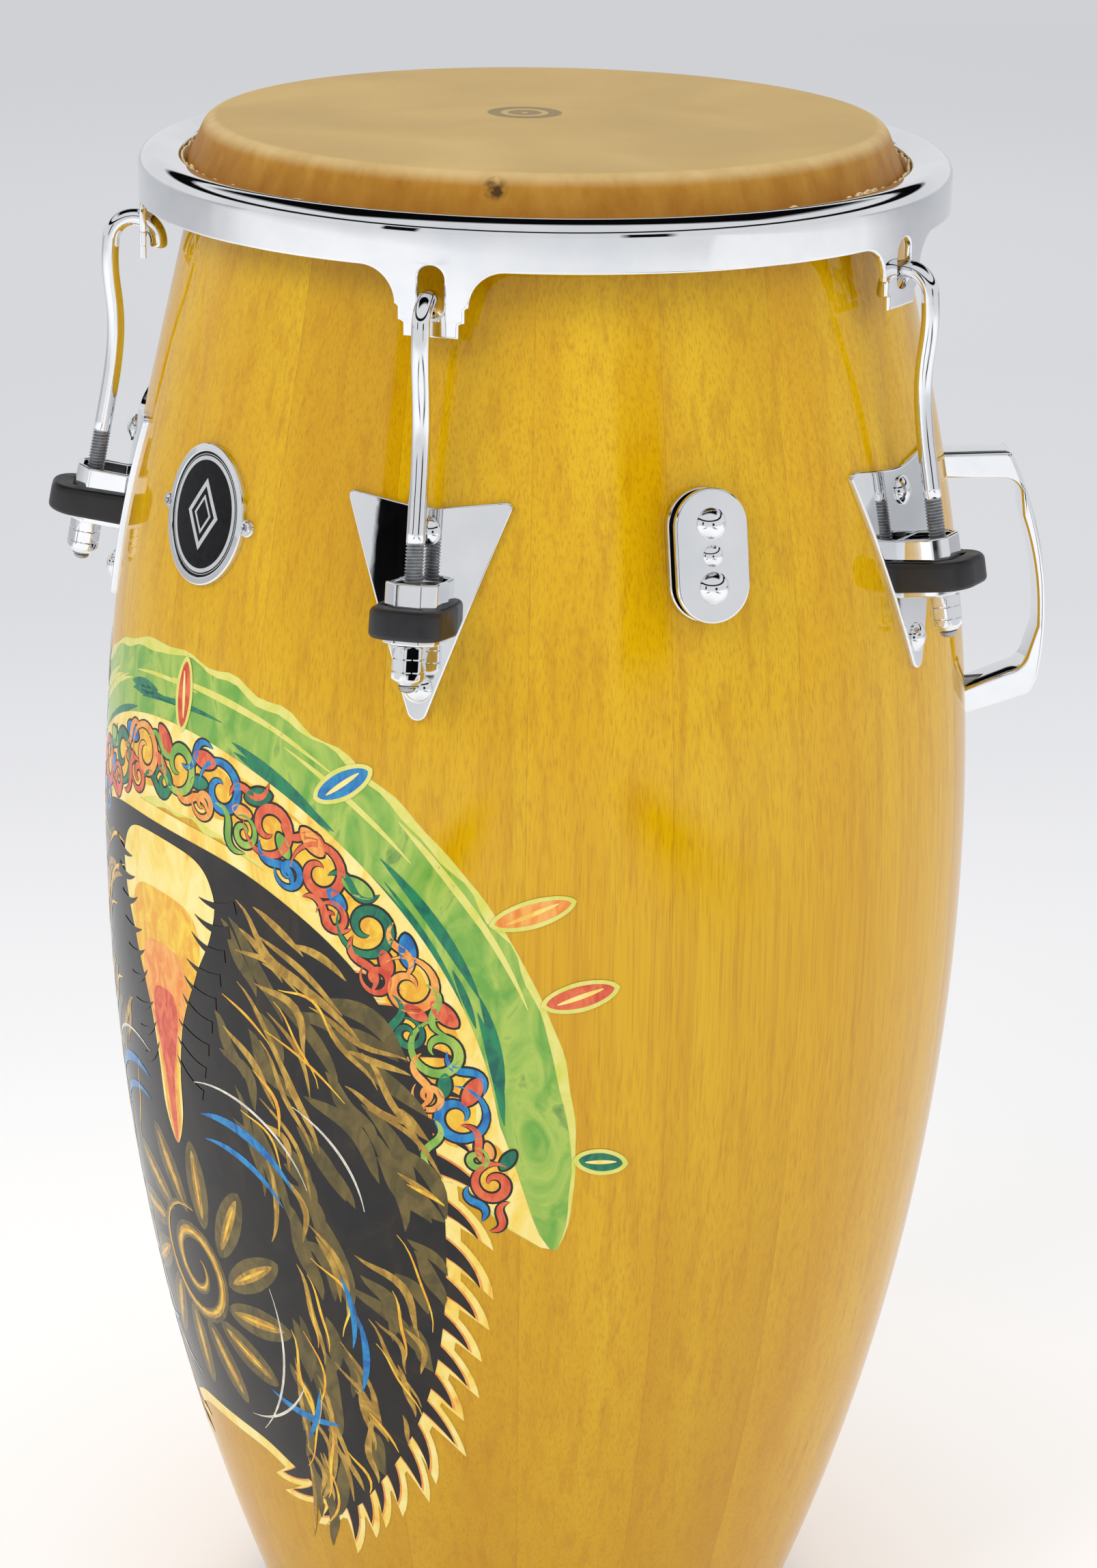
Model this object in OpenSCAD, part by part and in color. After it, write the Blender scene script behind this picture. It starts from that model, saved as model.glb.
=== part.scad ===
// Conga drum: a glued stave shell on a rubber foot, a rawhide head held by a curved steel
// rim, five hook lugs with rubber shell protectors, a side handle, a stand mount and a badge.
// Origin: centre of the foot, on the floor. +Z is up and +X points at the handle.
// Azimuths are counted from -Y towards +X, so the handle stands at 90 degrees.

/* [Shell] */
// Height of the wooden shell above the floor
shell_h = 762; // [755:1:770]
// Largest outer radius, at the belly
belly_r = 205.2; // [203:0.1:207]
// Height of the belly above the floor
belly_h = 425; // [420:1:430]
// Radius of the arc that draws the shell in below the belly
low_arc_r = 1150; // [1120:10:1180]
// Radius of the arc that draws the shell in above the belly
up_arc_r = 960; // [950:10:970]
// Thickness of the staves
wall = 13; // [12:0.5:14]
// Number of staves, four to each lug
stave_count = 20; // [20:1:20]
// Thickness of the glue line between two staves
glue_t = 0.1; // [0.1:0.05:0.3]
// Radius of the rounded bearing edge that the head lies on
edge_r = 6; // [5:0.5:6.5]

/* [Foot] */
// Thickness of rubber under the shell
foot_t = 5; // [4:0.5:6]
// Height of the rubber lip round the outside of the shell
foot_h = 14; // [12:1:18]
// Thickness of that lip
foot_lip = 3.6; // [3:0.1:4]

/* [Head and rim] */
// Thickness of the rawhide
skin_t = 2; // [1.6:0.1:2.2]
// Angle of the head's collar from the vertical
collar_angle = 24; // [23:0.5:25]
// Outer radius of the rim's skirt
rim_r = 183.6; // [183.4:0.1:183.8]
// Thickness of the rim's steel
rim_t = 3; // [2.8:0.1:3.2]
// Height of the rim's inner edge above the floor
rim_h = 746; // [745.5:0.5:746.5]
// Radius of the rim's inner edge
rim_inner_r = 165; // [164.8:0.1:165.2]
// Radius of the steel bar bent into the flesh hoop
hoop_bar_r = 4; // [3.5:0.1:4]

/* [Lugs] */
// Number of lugs
lug_count = 5; // [5:1:5]
// Lean of the tuning rods from the vertical
lean = 11; // [10.8:0.1:11.2]
// Diameter of the tuning rods
rod_d = 7.94; // [7.8:0.01:7.94]
// Size of the lug nuts across their flats
nut_af = 12.7; // [12:0.1:13]
// Length of the lug nuts
nut_len = 16.3; // [15:0.1:17]
// Thickness of the side plates
plate_t = 2.6; // [2.2:0.1:2.8]
// Width of the side plates at the top
plate_w = 73.5; // [70:0.5:76]
// Width of the lug brackets
bracket_w = 22.8; // [22:0.1:23.4]

/* [Handle] */
// Width of the handle
handle_w = 20; // [18:0.5:22]
// Greatest distance of the handle from the drum's axis
handle_reach = 240.3; // [239:0.1:242]

/* [Stand mount] */
// Width of the stand mount plates
mount_w = 33; // [32:0.5:34]
// Height of the stand mount plates
mount_h = 57; // [55:0.5:59]

/* [Badge] */
// Width of the badge
badge_w = 55; // [54:0.5:56]
// Height of the badge
badge_h = 62; // [61:0.5:63]

/* [Hidden] */
function names(base) = [for (i = [1:5]) str(base, "_", i)];

// Colours
WOOD = [0.84, 0.66, 0.2];
HIDE = [0.8, 0.68, 0.45];
CHROME = [0.86, 0.87, 0.88];
STEEL = [0.62, 0.63, 0.65];
RUBBER = [0.08, 0.08, 0.09];

// Where things stand round the drum
handle_az = 90;
lug_step = 360 / lug_count;
function lug_az(i) = handle_az - 180 + (i - 1) * lug_step;
mount_az = lug_az(2) + lug_step / 2;
badge_az = lug_az(1) + lug_step / 2;
stave_step = 360 / stave_count;
seam_turn = 4.5;
function seam_az(k) = lug_az(1) - seam_turn + k * stave_step;

// Shell outline: an arc below the belly, an arc above it, then a straight neck.
neck_slope = 0.235;
neck_angle = atan(neck_slope);
neck_start = belly_h + up_arc_r * sin(neck_angle);
function arc_drop(arc_r, dh) = arc_r - sqrt(arc_r * arc_r - dh * dh);
function shell_r(h) =
    h < belly_h ? belly_r - arc_drop(low_arc_r, belly_h - h)
    : h < neck_start ? belly_r - arc_drop(up_arc_r, h - belly_h)
    : belly_r - arc_drop(up_arc_r, neck_start - belly_h) - neck_slope * (h - neck_start);
edge_h = shell_h - edge_r;
edge_c = shell_r(edge_h) - edge_r / cos(neck_angle);
edge_top = edge_h + edge_r * sin(neck_angle);
band_h = 24;
bands = concat(
    [foot_t, foot_h],
    [for (h = foot_h + band_h; h < edge_top - band_h / 2; h = h + band_h) h],
    [edge_top]
);

// Points of an arc from angle a to angle b, in n steps
function arc(c, r, a, b, n) =
    [for (k = [0:n]) c + r * [cos(a + (b - a) * k / n), sin(a + (b - a) * k / n)]];
function unit(v) = v / norm(v);
function wrap180(a) = a > 180 ? a - 360 : a < -180 ? a + 360 : a;
// A corner at q, between p and s, rounded to radius r
function corner(p, q, s, r, n) =
    let (u = unit(p - q), v = unit(s - q), half = acos(u * v) / 2)
    let (c = q + unit(u + v) * r / sin(half), d = r / tan(half))
    let (t0 = q + u * d - c, t1 = q + v * d - c)
    let (a = atan2(t0[1], t0[0]), turn = wrap180(atan2(t1[1], t1[0]) - a))
    arc(c, r, a, a + turn, n);
// A closed outline whose corners are rounded to the radii given, 0 leaving one sharp
function rounded(pts, radii, n = 6) =
    let (m = len(pts))
    [for (k = [0:m - 1])
        each radii[k] == 0 ? [pts[k]]
            : corner(pts[(k + m - 1) % m], pts[k], pts[(k + 1) % m], radii[k], n)];
function ellipse(w, h, n = 48) = [for (k = [0:n - 1]) [w * cos(k * 360 / n), h * sin(k * 360 / n)] / 2];
module stadium(w, h) {
    square([w, h - w], center = true);
    for (s = [-1, 1]) translate([0, s * (h - w) / 2]) circle(d = w, $fn = 64);
}

// Local frame at an azimuth: x points away from the axis, y towards rising azimuth.
module at(az) {
    rotate([0, 0, az - 90]) children();
}
// Frame on the shell's surface at height h: x leaves the surface, z runs up along it.
module on_shell(az, h, tilt = lean) {
    at(az) translate([shell_r(h), 0, h]) rotate([0, -tilt, 0]) children();
}
// Lean of the shell's own surface above the belly
function shell_lean(h) = min(asin((h - belly_h) / up_arc_r), neck_angle);
// How far the shell's surface lies in front of that frame's origin plane, at z
function face_x(h, z, tilt = lean) =
    let (g = h + z * cos(tilt))
    (shell_r(g) - shell_r(h)) * cos(tilt) + (g - h) * sin(tilt);
// The flat outline (y, z), pushed out along x from x0 to x1
module push(x0, x1) {
    translate([x0, 0, 0]) rotate([90, 0, 90]) linear_extrude(x1 - x0) children();
}
// A rod of radius r along x, from x0 to x1
module bar(r, x0, x1) {
    translate([x0, 0, 0]) rotate([0, 90, 0]) cylinder(r = r, h = x1 - x0, $fn = 48);
}
// A hexagon across flats af along x, from x0 to x1
module hex_bar(af, x0, x1) {
    translate([x0, 0, 0]) rotate([0, 90, 0]) cylinder(d = af / cos(30), h = x1 - x0, $fn = 6);
}
// A turned piece with its axis along x, drawn as (radius, x)
module turned(pts) {
    rotate([0, 90, 0]) rotate_extrude($fn = 48) polygon(pts);
}
// Outline of a domed head of radius r and height h standing on x0, from its rim to its top
function dome(r, h, x0, n = 6) =
    let (ball = (r * r + h * h) / (2 * h))
    arc([0, x0 + h - ball], ball, acos(r / ball) * sign(ball - h), 90, n);
// A screw or rivet: a shank of radius r from x0 up to a domed head standing on x1
module domed_pin(r, x0, x1, head_r, head_h) {
    turned(concat([[0, x0], [r, x0], [r, x1]], dome(head_r, head_h, x1)));
}
// The whole shell as a solid, swollen by extra
module swollen(extra) {
    rotate_extrude($fn = 96)
        polygon(concat([[0, bands[0]]], [for (h = bands) [shell_r(h) + extra, h]], [[0, edge_top]]));
}

// Side plates and what stands on them, in the frame on the shell's surface at seat_h
seat_h = 600;
plate_top = 34.5;
plate_dip = 5.8;
plate_tip = -70;
bolt_h = [619, 554];
rod_x = 17;
bracket_top = -1;
bracket_bottom = -26.9;
bracket_x = plate_t + 22.4;
bracket_t = 3;
bracket_end = 11;
bracket_cut = 5.5;
bracket_hole_r = 4.5;
protector_w = 31.5;
protector_x = plate_t + 32.8;
protector_top = -10;
protector_bottom = -24;
protector_round = 12;
nut_gap = 0.3;
nut_top = bracket_bottom - nut_gap;
nut_bottom = nut_top - nut_len;
nut_bore_r = rod_d / 2 + 0.05;
rod_end = nut_bottom - 1.5;

// Through bolts of the side plates and the stand mount
bolt_r = 3.175;
bolt_hole_r = 3.4;
bolt_head_r = 6.5;
bolt_head_h = 3.5;
washer_r = 8;
washer_t = 1.6;
inner_nut_af = 11.1;
inner_nut_t = 5.5;
inner_seat = 0.5;
head_gap = 0.1;
bolt_tail = 2;

// Head
skin_top = shell_h + skin_t;
collar_end_h = 742;
hoop_c = [169.5, 737.6];
wrap_r = hoop_bar_r + 2.2;
frill_r = 163.2;
frill_t = 1.4;
frill_h = [736, 747.5];

// Rim
rim_lip_r = 2;
rim_crest = [176.6, 750.3];
rim_round_r = rim_r - rim_crest[0];
skirt_h = 728;
tab_h = 700.2;
slot_w = 11.35;
slot_h = [708, 730];

// Hooks: a half-ring over the tab, an upright leg, then the leaning rod
hook_in_r = 175.2;
hook_out_r = 196.7;
hook_h = 706.1;
hook_tip = 1.5;
hook_ring_r = (hook_out_r - hook_in_r) / 2;
joint_swell = 0.12;

// The glued staves: one turned wall, parted by its glue lines, with every bolt hole
module staves() {
    inner = [for (h = bands) [shell_r(h) - wall, h]];
    top = len(inner) - 1;
    color(WOOD) difference() {
        rotate_extrude($fn = 96) polygon(concat(
            [for (k = [top:-1:0]) inner[k]],
            [for (h = bands) [shell_r(h), h]],
            arc([edge_c, edge_h], edge_r, neck_angle, 90, 6),
            [[shell_r(shell_h) - wall, shell_h]]
        ));
        for (k = [1:stave_count])
            at(seam_az(k)) translate([0, -glue_t / 2, 0]) cube([2 * belly_r, glue_t, 2 * shell_h]);
        for (i = [1:lug_count])
            each_bolt(i) bar(bolt_hole_r, -30, 10);
        handle_bolt_axes() bar(bolt_hole_r, -40, 10);
        mount_bolt_axes() bar(bolt_hole_r, -30, 10);
        badge_screw_axes() bar(badge_pin_r, -badge_pin_len, 5);
    }
}

module base_ring() {
    foot_in = shell_r(foot_t) - wall - 1.5;
    foot_out = shell_r(0) + foot_lip;
    color(RUBBER) rotate_extrude($fn = 96) polygon([
        [foot_in, 0],
        [foot_out - 2, 0],
        [foot_out, 2],
        [shell_r(foot_h) + foot_lip, foot_h - 1.2],
        [shell_r(foot_h) + foot_lip - 1.2, foot_h],
        [shell_r(foot_h), foot_h],
        [shell_r(foot_t), foot_t],
        [foot_in, foot_t]
    ]);
}

module head_skin() {
    c = [edge_c, edge_h];
    run = [tan(collar_angle), -1];
    outer = arc(c, edge_r + skin_t, 90, collar_angle, 8);
    inner = arc(c, edge_r, collar_angle, 90, 8);
    last = outer[8];
    first = inner[0];
    color(HIDE) rotate_extrude($fn = 96) polygon(concat(
        [[0, skin_top]],
        outer,
        [last + run * (last[1] - collar_end_h), first + run * (first[1] - collar_end_h)],
        inner,
        [[0, shell_h]]
    ));
}

// The head's edge, wrapped round the flesh hoop, with its trimmed end standing up inside the rim
module skin_tuck() {
    color(HIDE) rotate_extrude($fn = 96) difference() {
        union() {
            translate(hoop_c) circle(r = wrap_r, $fn = 48);
            translate([frill_r, frill_h[0]]) square([frill_t, frill_h[1] - frill_h[0]]);
        }
        translate(hoop_c) circle(r = hoop_bar_r, $fn = 48);
    }
}

module flesh_hoop() {
    color(STEEL) rotate_extrude($fn = 96) translate(hoop_c) circle(r = hoop_bar_r, $fn = 48);
}

// Half of a tab's outline, from the middle of its bottom edge up into the skirt
function tab_side() = concat(
    [[11.9, tab_h], [11.9, tab_h + 5.6], [13, tab_h + 6.3], [14.4, tab_h + 6.5]],
    [[14.4, tab_h + 12], [15.2, tab_h + 12.8], [16, tab_h + 13]],
    arc([31, tab_h + 13], 15, 180, 90, 8),
    [[31, skirt_h + 4]]
);
module tab_outline() {
    side = tab_side();
    n = len(side) - 1;
    polygon(concat(side, [for (k = [n:-1:0]) [-side[k][0], side[k][1]]]));
}
module crown() {
    round_c = [rim_crest[0], rim_crest[1] - rim_round_r];
    lip_c = [rim_inner_r + rim_lip_r, rim_h];
    under = rim_crest - [0, rim_t];
    profile = concat(
        [[rim_r, skirt_h]],
        arc(round_c, rim_round_r, 0, 90, 8),
        arc(lip_c, rim_lip_r, 104, 270, 8),
        arc(round_c, rim_round_r - rim_t, 90, 0, 6),
        [[rim_r - rim_t, skirt_h]]
    );
    color(CHROME) difference() {
        union() {
            rotate_extrude($fn = 96) polygon(profile);
            intersection() {
                difference() {
                    translate([0, 0, tab_h]) cylinder(r = rim_r, h = skirt_h + 4 - tab_h, $fn = 96);
                    cylinder(r = rim_r - rim_t, h = rim_h, $fn = 96);
                }
                for (i = [1:lug_count])
                    at(lug_az(i)) push(rim_r - 20, rim_r + 5) tab_outline();
            }
        }
        for (i = [1:lug_count])
            at(lug_az(i)) push(rim_r - 10, rim_r + 5) slot_outline();
    }
}
module slot_outline() {
    translate([0, (slot_h[0] + slot_h[1]) / 2]) stadium(slot_w, slot_h[1] - slot_h[0]);
}

// A straight piece of rod between two points (radius, height)
module rod_run(p, q) {
    d = q - p;
    translate([p[0], 0, p[1]]) rotate([0, 90 - atan2(d[1], d[0]), 0])
        cylinder(d = rod_d, h = norm(d), $fn = 48);
}
// A hair-thicker ball where two runs of the rod meet at an angle
module rod_joint(p) {
    translate([p[0], 0, p[1]]) sphere(d = rod_d + joint_swell, $fn = 48);
}
module tuning_hook(i) {
    along = [-sin(lean), cos(lean)];
    axis_pt = [shell_r(seat_h), seat_h] + rod_x * [cos(lean), sin(lean)];
    foot = axis_pt + rod_end * along;
    knee = [hook_out_r, axis_pt[1] + (axis_pt[0] - hook_out_r) / tan(lean)];
    leg_top = [hook_out_r, hook_h];
    color(CHROME) at(lug_az(i)) union() {
        rod_run([hook_in_r, hook_h - hook_tip], [hook_in_r, hook_h]);
        translate([hook_in_r + hook_ring_r, 0, hook_h]) rotate([90, 0, 0])
            rotate_extrude(angle = 180, $fn = 96)
                translate([hook_ring_r, 0]) circle(d = rod_d, $fn = 48);
        rod_run(knee, leg_top);
        rod_run(foot, knee);
        rod_joint(leg_top);
        rod_joint(knee);
    }
}

module lug_nut(i) {
    groove = 0.5;
    third = nut_len / 3;
    nose_r = 4.6;
    nose_h = 2.6;
    body_r = 7.4;
    top_cut = 0.5;
    color(CHROME) on_shell(lug_az(i), seat_h) translate([rod_x, 0, nut_bottom]) difference() {
        intersection() {
            rotate([0, 0, 30]) cylinder(d = nut_af / cos(30), h = nut_len, $fn = 6);
            rotate_extrude($fn = 64) polygon([
                [0, 0],
                [nose_r, 0],
                [body_r, nose_h],
                [body_r, nut_len - top_cut],
                [body_r - top_cut, nut_len],
                [0, nut_len]
            ]);
        }
        for (k = [1, 2]) translate([0, 0, k * third - groove / 2]) difference() {
            cylinder(r = 12, h = groove, $fn = 64);
            translate([0, 0, -1]) cylinder(r = nut_af / 2 - 0.3, h = groove + 2, $fn = 64);
        }
        translate([0, 0, -1]) cylinder(r = nut_bore_r, h = nut_len + 2, $fn = 64);
    }
}

module plate_outline() {
    polygon(rounded(
        [[-plate_w / 2, plate_top], [0, plate_top - plate_dip], [plate_w / 2, plate_top], [0, plate_tip]],
        [2.5, 60, 2.5, 4.5]
    ));
}
module each_bolt(i) {
    for (h = bolt_h) on_shell(lug_az(i), h, shell_lean(h)) children();
}
module side_plate(i) {
    color(CHROME) difference() {
        intersection() {
            on_shell(lug_az(i), seat_h) push(-14, 14) plate_outline();
            swollen(plate_t);
        }
        swollen(0);
        each_bolt(i) bar(bolt_hole_r, -5, 10);
    }
}

function bracket_outer() = [
    [0, -bracket_w / 2],
    [bracket_x - bracket_cut, -bracket_w / 2],
    [bracket_x, -bracket_end / 2],
    [bracket_x, bracket_end / 2],
    [bracket_x - bracket_cut, bracket_w / 2],
    [0, bracket_w / 2]
];
function bracket_inner() =
    let (w = bracket_w - 2 * bracket_t, x = bracket_x - bracket_t)
    [[-5, -w / 2], [x - bracket_cut + 1, -w / 2], [x, -bracket_end / 2 + 1],
     [x, bracket_end / 2 - 1], [x - bracket_cut + 1, w / 2], [-5, w / 2]];
module lug_bracket(i) {
    color(CHROME) difference() {
        on_shell(lug_az(i), seat_h) difference() {
            translate([0, 0, bracket_bottom])
                linear_extrude(bracket_top - bracket_bottom) polygon(bracket_outer());
            translate([0, 0, bracket_bottom + bracket_t])
                linear_extrude(40) polygon(bracket_inner());
            translate([rod_x, 0, bracket_bottom - 1])
                cylinder(r = bracket_hole_r, h = bracket_t + 2, $fn = 64);
        }
        swollen(plate_t);
    }
}

module shell_protector(i) {
    color(RUBBER) difference() {
        on_shell(lug_az(i), seat_h) translate([0, 0, protector_bottom]) difference() {
            linear_extrude(protector_top - protector_bottom) polygon(rounded(
                [[0, -protector_w / 2], [protector_x, -protector_w / 2],
                 [protector_x, protector_w / 2], [0, protector_w / 2]],
                [0, protector_round, protector_round, 0]
            ));
            translate([0, 0, -1]) linear_extrude(40)
                polygon(concat([[-5, -bracket_w / 2]], bracket_outer(), [[-5, bracket_w / 2]]));
        }
        swollen(plate_t);
    }
}

// Pieces of a through bolt, on the frame of its axis where x = 0 is the shell's surface
module bolt(head_x, head_r, head_h, grip) {
    tail = -grip - inner_seat - washer_t - inner_nut_t - bolt_tail;
    domed_pin(bolt_r, tail, head_x, head_r, head_h);
}
module washer(grip) {
    difference() {
        bar(washer_r, -grip - inner_seat - washer_t, -grip - inner_seat);
        bar(bolt_hole_r, -60, 5);
    }
}
module inner_nut(grip) {
    difference() {
        hex_bar(inner_nut_af, -grip - inner_seat - washer_t - inner_nut_t, -grip - inner_seat - washer_t);
        bar(bolt_r, -60, 5);
    }
}
lug_grip = wall * cos(lean);

module side_plate_bolts() {
    color(CHROME) for (i = [1:lug_count])
        each_bolt(i) bolt(plate_t + head_gap, bolt_head_r, bolt_head_h, lug_grip);
}
module side_plate_washers() {
    color(STEEL) for (i = [1:lug_count]) each_bolt(i) washer(lug_grip);
}
module side_plate_nuts() {
    color(STEEL) for (i = [1:lug_count]) each_bolt(i) inner_nut(lug_grip);
}

// Handle: a cast grip whose side view is drawn as (radius, height)
arm_root_r = 170;
arm_t = 13;
handle_top = [219, 611];
handle_low = [235.2, 492.4];
low_root_h = 481;
low_inside = [190, 497.3];
low_corner = [231.5, 504.8];
low_corner_r = 11;
top_corner = [223.6, 598];
top_corner_r = 9;
grip_out_h = 526;
grip_out_r = 183;
grip_in_r = 150;
grip_t = 3.6;
grip_step = 8;
grip_in_h = [525, 582];
handle_screw_h = [604, 495.5];
handle_screw_r = 3;
handle_screw_len = 14;
function grip_out(h) = [handle_reach - arc_drop(grip_out_r, h - grip_out_h), h];
function grip_in(h) = [handle_reach - grip_t - arc_drop(grip_in_r, h - grip_out_h), h];
module handle_outline() {
    polygon(concat(
        [[arm_root_r, handle_top[1] - 1]],
        [for (h = handle_top[1]; h > handle_low[1]; h = h - grip_step) grip_out(h)],
        [handle_low, [arm_root_r, low_root_h], [arm_root_r, low_root_h + arm_t]],
        corner(low_inside, low_corner, grip_in(grip_in_h[0] + 5), low_corner_r, 6),
        [for (h = grip_in_h[0]; h < grip_in_h[1]; h = h + grip_step) grip_in(h)],
        corner(grip_in(grip_in_h[1] - 12), top_corner, [low_inside[0], top_corner[1]], top_corner_r, 6),
        [[arm_root_r, handle_top[1] - arm_t]]
    ));
}
module handle_bolt_axes() {
    for (h = handle_screw_h) on_shell(handle_az, h, shell_lean(h)) children();
}
module handle() {
    color(CHROME) difference() {
        at(handle_az) translate([0, handle_w / 2, 0]) rotate([90, 0, 0])
            linear_extrude(handle_w) handle_outline();
        swollen(0);
        handle_bolt_axes() bar(handle_screw_r, -40, handle_screw_len);
    }
}
module handle_screws() {
    head_x = wall + inner_seat + washer_t + 1;
    color(STEEL) handle_bolt_axes() mirror([1, 0, 0])
        domed_pin(handle_screw_r, -handle_screw_len, head_x, 6, 3.4);
}
module handle_washers() {
    color(STEEL) handle_bolt_axes() difference() {
        bar(9, -wall - 1 - inner_seat - washer_t, -wall - 1 - inner_seat);
        bar(bolt_hole_r, -60, 5);
    }
}

// Stand mount: two oval plates held apart, so that a stand's fork slides in between them
mount_c_h = 609.5;
mount_lift = 0.05;
mount_back_x = 3.1;
mount_gap = 5.4;
mount_front_t = 2.7;
mount_front_x = mount_back_x + mount_gap;
mount_bolt_gap = 26.9;
mount_head_r = 6.75;
module mount_bolt_axes() {
    for (s = [-1, 1]) on_shell(mount_az, mount_c_h) {
        z = s * mount_bolt_gap / 2;
        translate([face_x(mount_c_h, z), 0, z]) children();
    }
}
module mount_layer(x0, x1, w, h) {
    difference() {
        on_shell(mount_az, mount_c_h) push(x0, x1) stadium(w, h);
        mount_bolt_axes() bar(bolt_hole_r, -10, 20);
        on_shell(mount_az, mount_c_h) bar(rivet_r, -6, 20);
    }
}
rivet_r = 2.4;
module mount_back_plate() {
    color(CHROME) mount_layer(mount_lift, mount_back_x, mount_w, mount_h);
}
module mount_spacer() {
    color(RUBBER) mount_layer(mount_back_x, mount_front_x, mount_w - 13, mount_h - 13);
}
module mount_front_plate() {
    color(CHROME) mount_layer(mount_front_x, mount_front_x + mount_front_t, mount_w, mount_h);
}
module mount_rivet() {
    color(CHROME) on_shell(mount_az, mount_c_h)
        domed_pin(rivet_r, 0.3, mount_front_x + mount_front_t, 4.5, 2.4);
}
module mount_bolts() {
    color(CHROME) mount_bolt_axes()
        bolt(mount_front_x + mount_front_t + 3 * head_gap, mount_head_r, 3.8, lug_grip);
}
module mount_washers() {
    color(STEEL) mount_bolt_axes() washer(lug_grip);
}
module mount_nuts() {
    color(STEEL) mount_bolt_axes() inner_nut(lug_grip);
}

// Badge: an oval plate with two ears, a raised rim and a flat inlay
badge_c_h = 608;
badge_base_t = 1;
badge_rim_t = 2.6;
badge_inlay_t = 1.8;
badge_rim_w = 3;
badge_ear_y = badge_w / 2 + 1.6;
badge_ear_r = 3.8;
badge_pin_r = 1.5;
badge_pin_len = 9;
badge_head_r = 2.9;
badge_head_gap = 0.35;
badge_spotface_r = badge_head_r + 0.3;
module badge_screw_axes() {
    for (s = [-1, 1]) on_shell(badge_az, badge_c_h) {
        turn = s * badge_ear_y / shell_r(badge_c_h) * 180 / PI;
        translate([0, s * badge_ear_y, 0]) rotate([0, 0, turn])
            translate([-arc_drop(shell_r(badge_c_h), badge_ear_y), 0, 0]) children();
    }
}
module badge_slice(t) {
    intersection() {
        on_shell(badge_az, badge_c_h) push(-12, 12) children();
        swollen(t);
    }
}
module badge_plate() {
    inner_w = badge_w - 2 * badge_rim_w;
    inner_h = badge_h - 2 * badge_rim_w;
    color(CHROME) difference() {
        union() {
            badge_slice(badge_rim_t) difference() {
                polygon(ellipse(badge_w, badge_h));
                polygon(ellipse(inner_w, inner_h));
            }
            badge_slice(badge_base_t) union() {
                polygon(ellipse(badge_w - badge_rim_w, badge_h - badge_rim_w));
                for (s = [-1, 1]) translate([s * badge_ear_y, 0]) circle(r = badge_ear_r, $fn = 32);
            }
        }
        swollen(0);
        badge_screw_axes() bar(badge_pin_r, -20, 10);
        badge_screw_axes() bar(badge_spotface_r, badge_base_t + badge_head_gap, 10);
    }
}
module badge_inlay() {
    color(RUBBER) difference() {
        badge_slice(badge_inlay_t)
            polygon(ellipse(badge_w - 2 * badge_rim_w, badge_h - 2 * badge_rim_w));
        swollen(badge_base_t);
    }
}
module badge_screws() {
    color(CHROME) badge_screw_axes()
        domed_pin(badge_pin_r, -badge_pin_len, badge_base_t + badge_head_gap, badge_head_r, 1.3);
}

staves();
base_ring();
head_skin();
skin_tuck();
flesh_hoop();
crown();
for (i = [1:lug_count]) {
    tuning_hook(i);
    lug_nut(i);
    side_plate(i);
    lug_bracket(i);
    shell_protector(i);
}
side_plate_bolts();
side_plate_washers();
side_plate_nuts();
handle();
handle_screws();
handle_washers();
mount_back_plate();
mount_spacer();
mount_front_plate();
mount_rivet();
mount_bolts();
mount_washers();
mount_nuts();
badge_plate();
badge_inlay();
badge_screws();
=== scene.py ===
"""Looks of a conga drum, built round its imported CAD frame.

Shapes are drawn in millimetres, in the CAD's own frame: +Z up from the floor, +X towards the
handle, azimuths counted from -Y towards +X. piece() turns them into Blender's metres.
"""

import math
import random

import bmesh
import bpy
from mathutils import Matrix, Vector
from mathutils.geometry import tessellate_polygon


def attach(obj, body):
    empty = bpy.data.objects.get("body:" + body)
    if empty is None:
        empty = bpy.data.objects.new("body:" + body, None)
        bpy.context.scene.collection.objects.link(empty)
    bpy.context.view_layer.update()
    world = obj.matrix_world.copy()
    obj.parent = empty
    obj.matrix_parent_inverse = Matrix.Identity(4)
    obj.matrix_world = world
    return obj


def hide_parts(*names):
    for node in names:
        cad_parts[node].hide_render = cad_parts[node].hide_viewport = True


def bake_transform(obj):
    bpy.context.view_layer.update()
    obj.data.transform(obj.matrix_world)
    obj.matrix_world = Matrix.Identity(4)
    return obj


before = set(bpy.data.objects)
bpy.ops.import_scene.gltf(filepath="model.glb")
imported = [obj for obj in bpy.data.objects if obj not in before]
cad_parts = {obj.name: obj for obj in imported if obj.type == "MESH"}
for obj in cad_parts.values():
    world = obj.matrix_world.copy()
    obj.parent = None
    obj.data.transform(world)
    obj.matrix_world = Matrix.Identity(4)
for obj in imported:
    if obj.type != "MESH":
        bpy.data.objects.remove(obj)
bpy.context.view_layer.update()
MM = 0.001

# ---------------------------------------------------------------- dimensions, in millimetres

BELLY_R, BELLY_H = 205.2, 425.0
LOW_ARC_R, UP_ARC_R = 1150.0, 960.0
NECK_SLOPE = 0.235
NECK_ANGLE = math.atan(NECK_SLOPE)
NECK_START = BELLY_H + UP_ARC_R * math.sin(NECK_ANGLE)
SHELL_H = 762.0
WALL = 13.0
EDGE_R = 6.0
SKIN_T = 2.0
COLLAR = math.radians(24)
FOOT_T, FOOT_H, FOOT_LIP = 5.0, 14.0, 3.6

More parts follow.
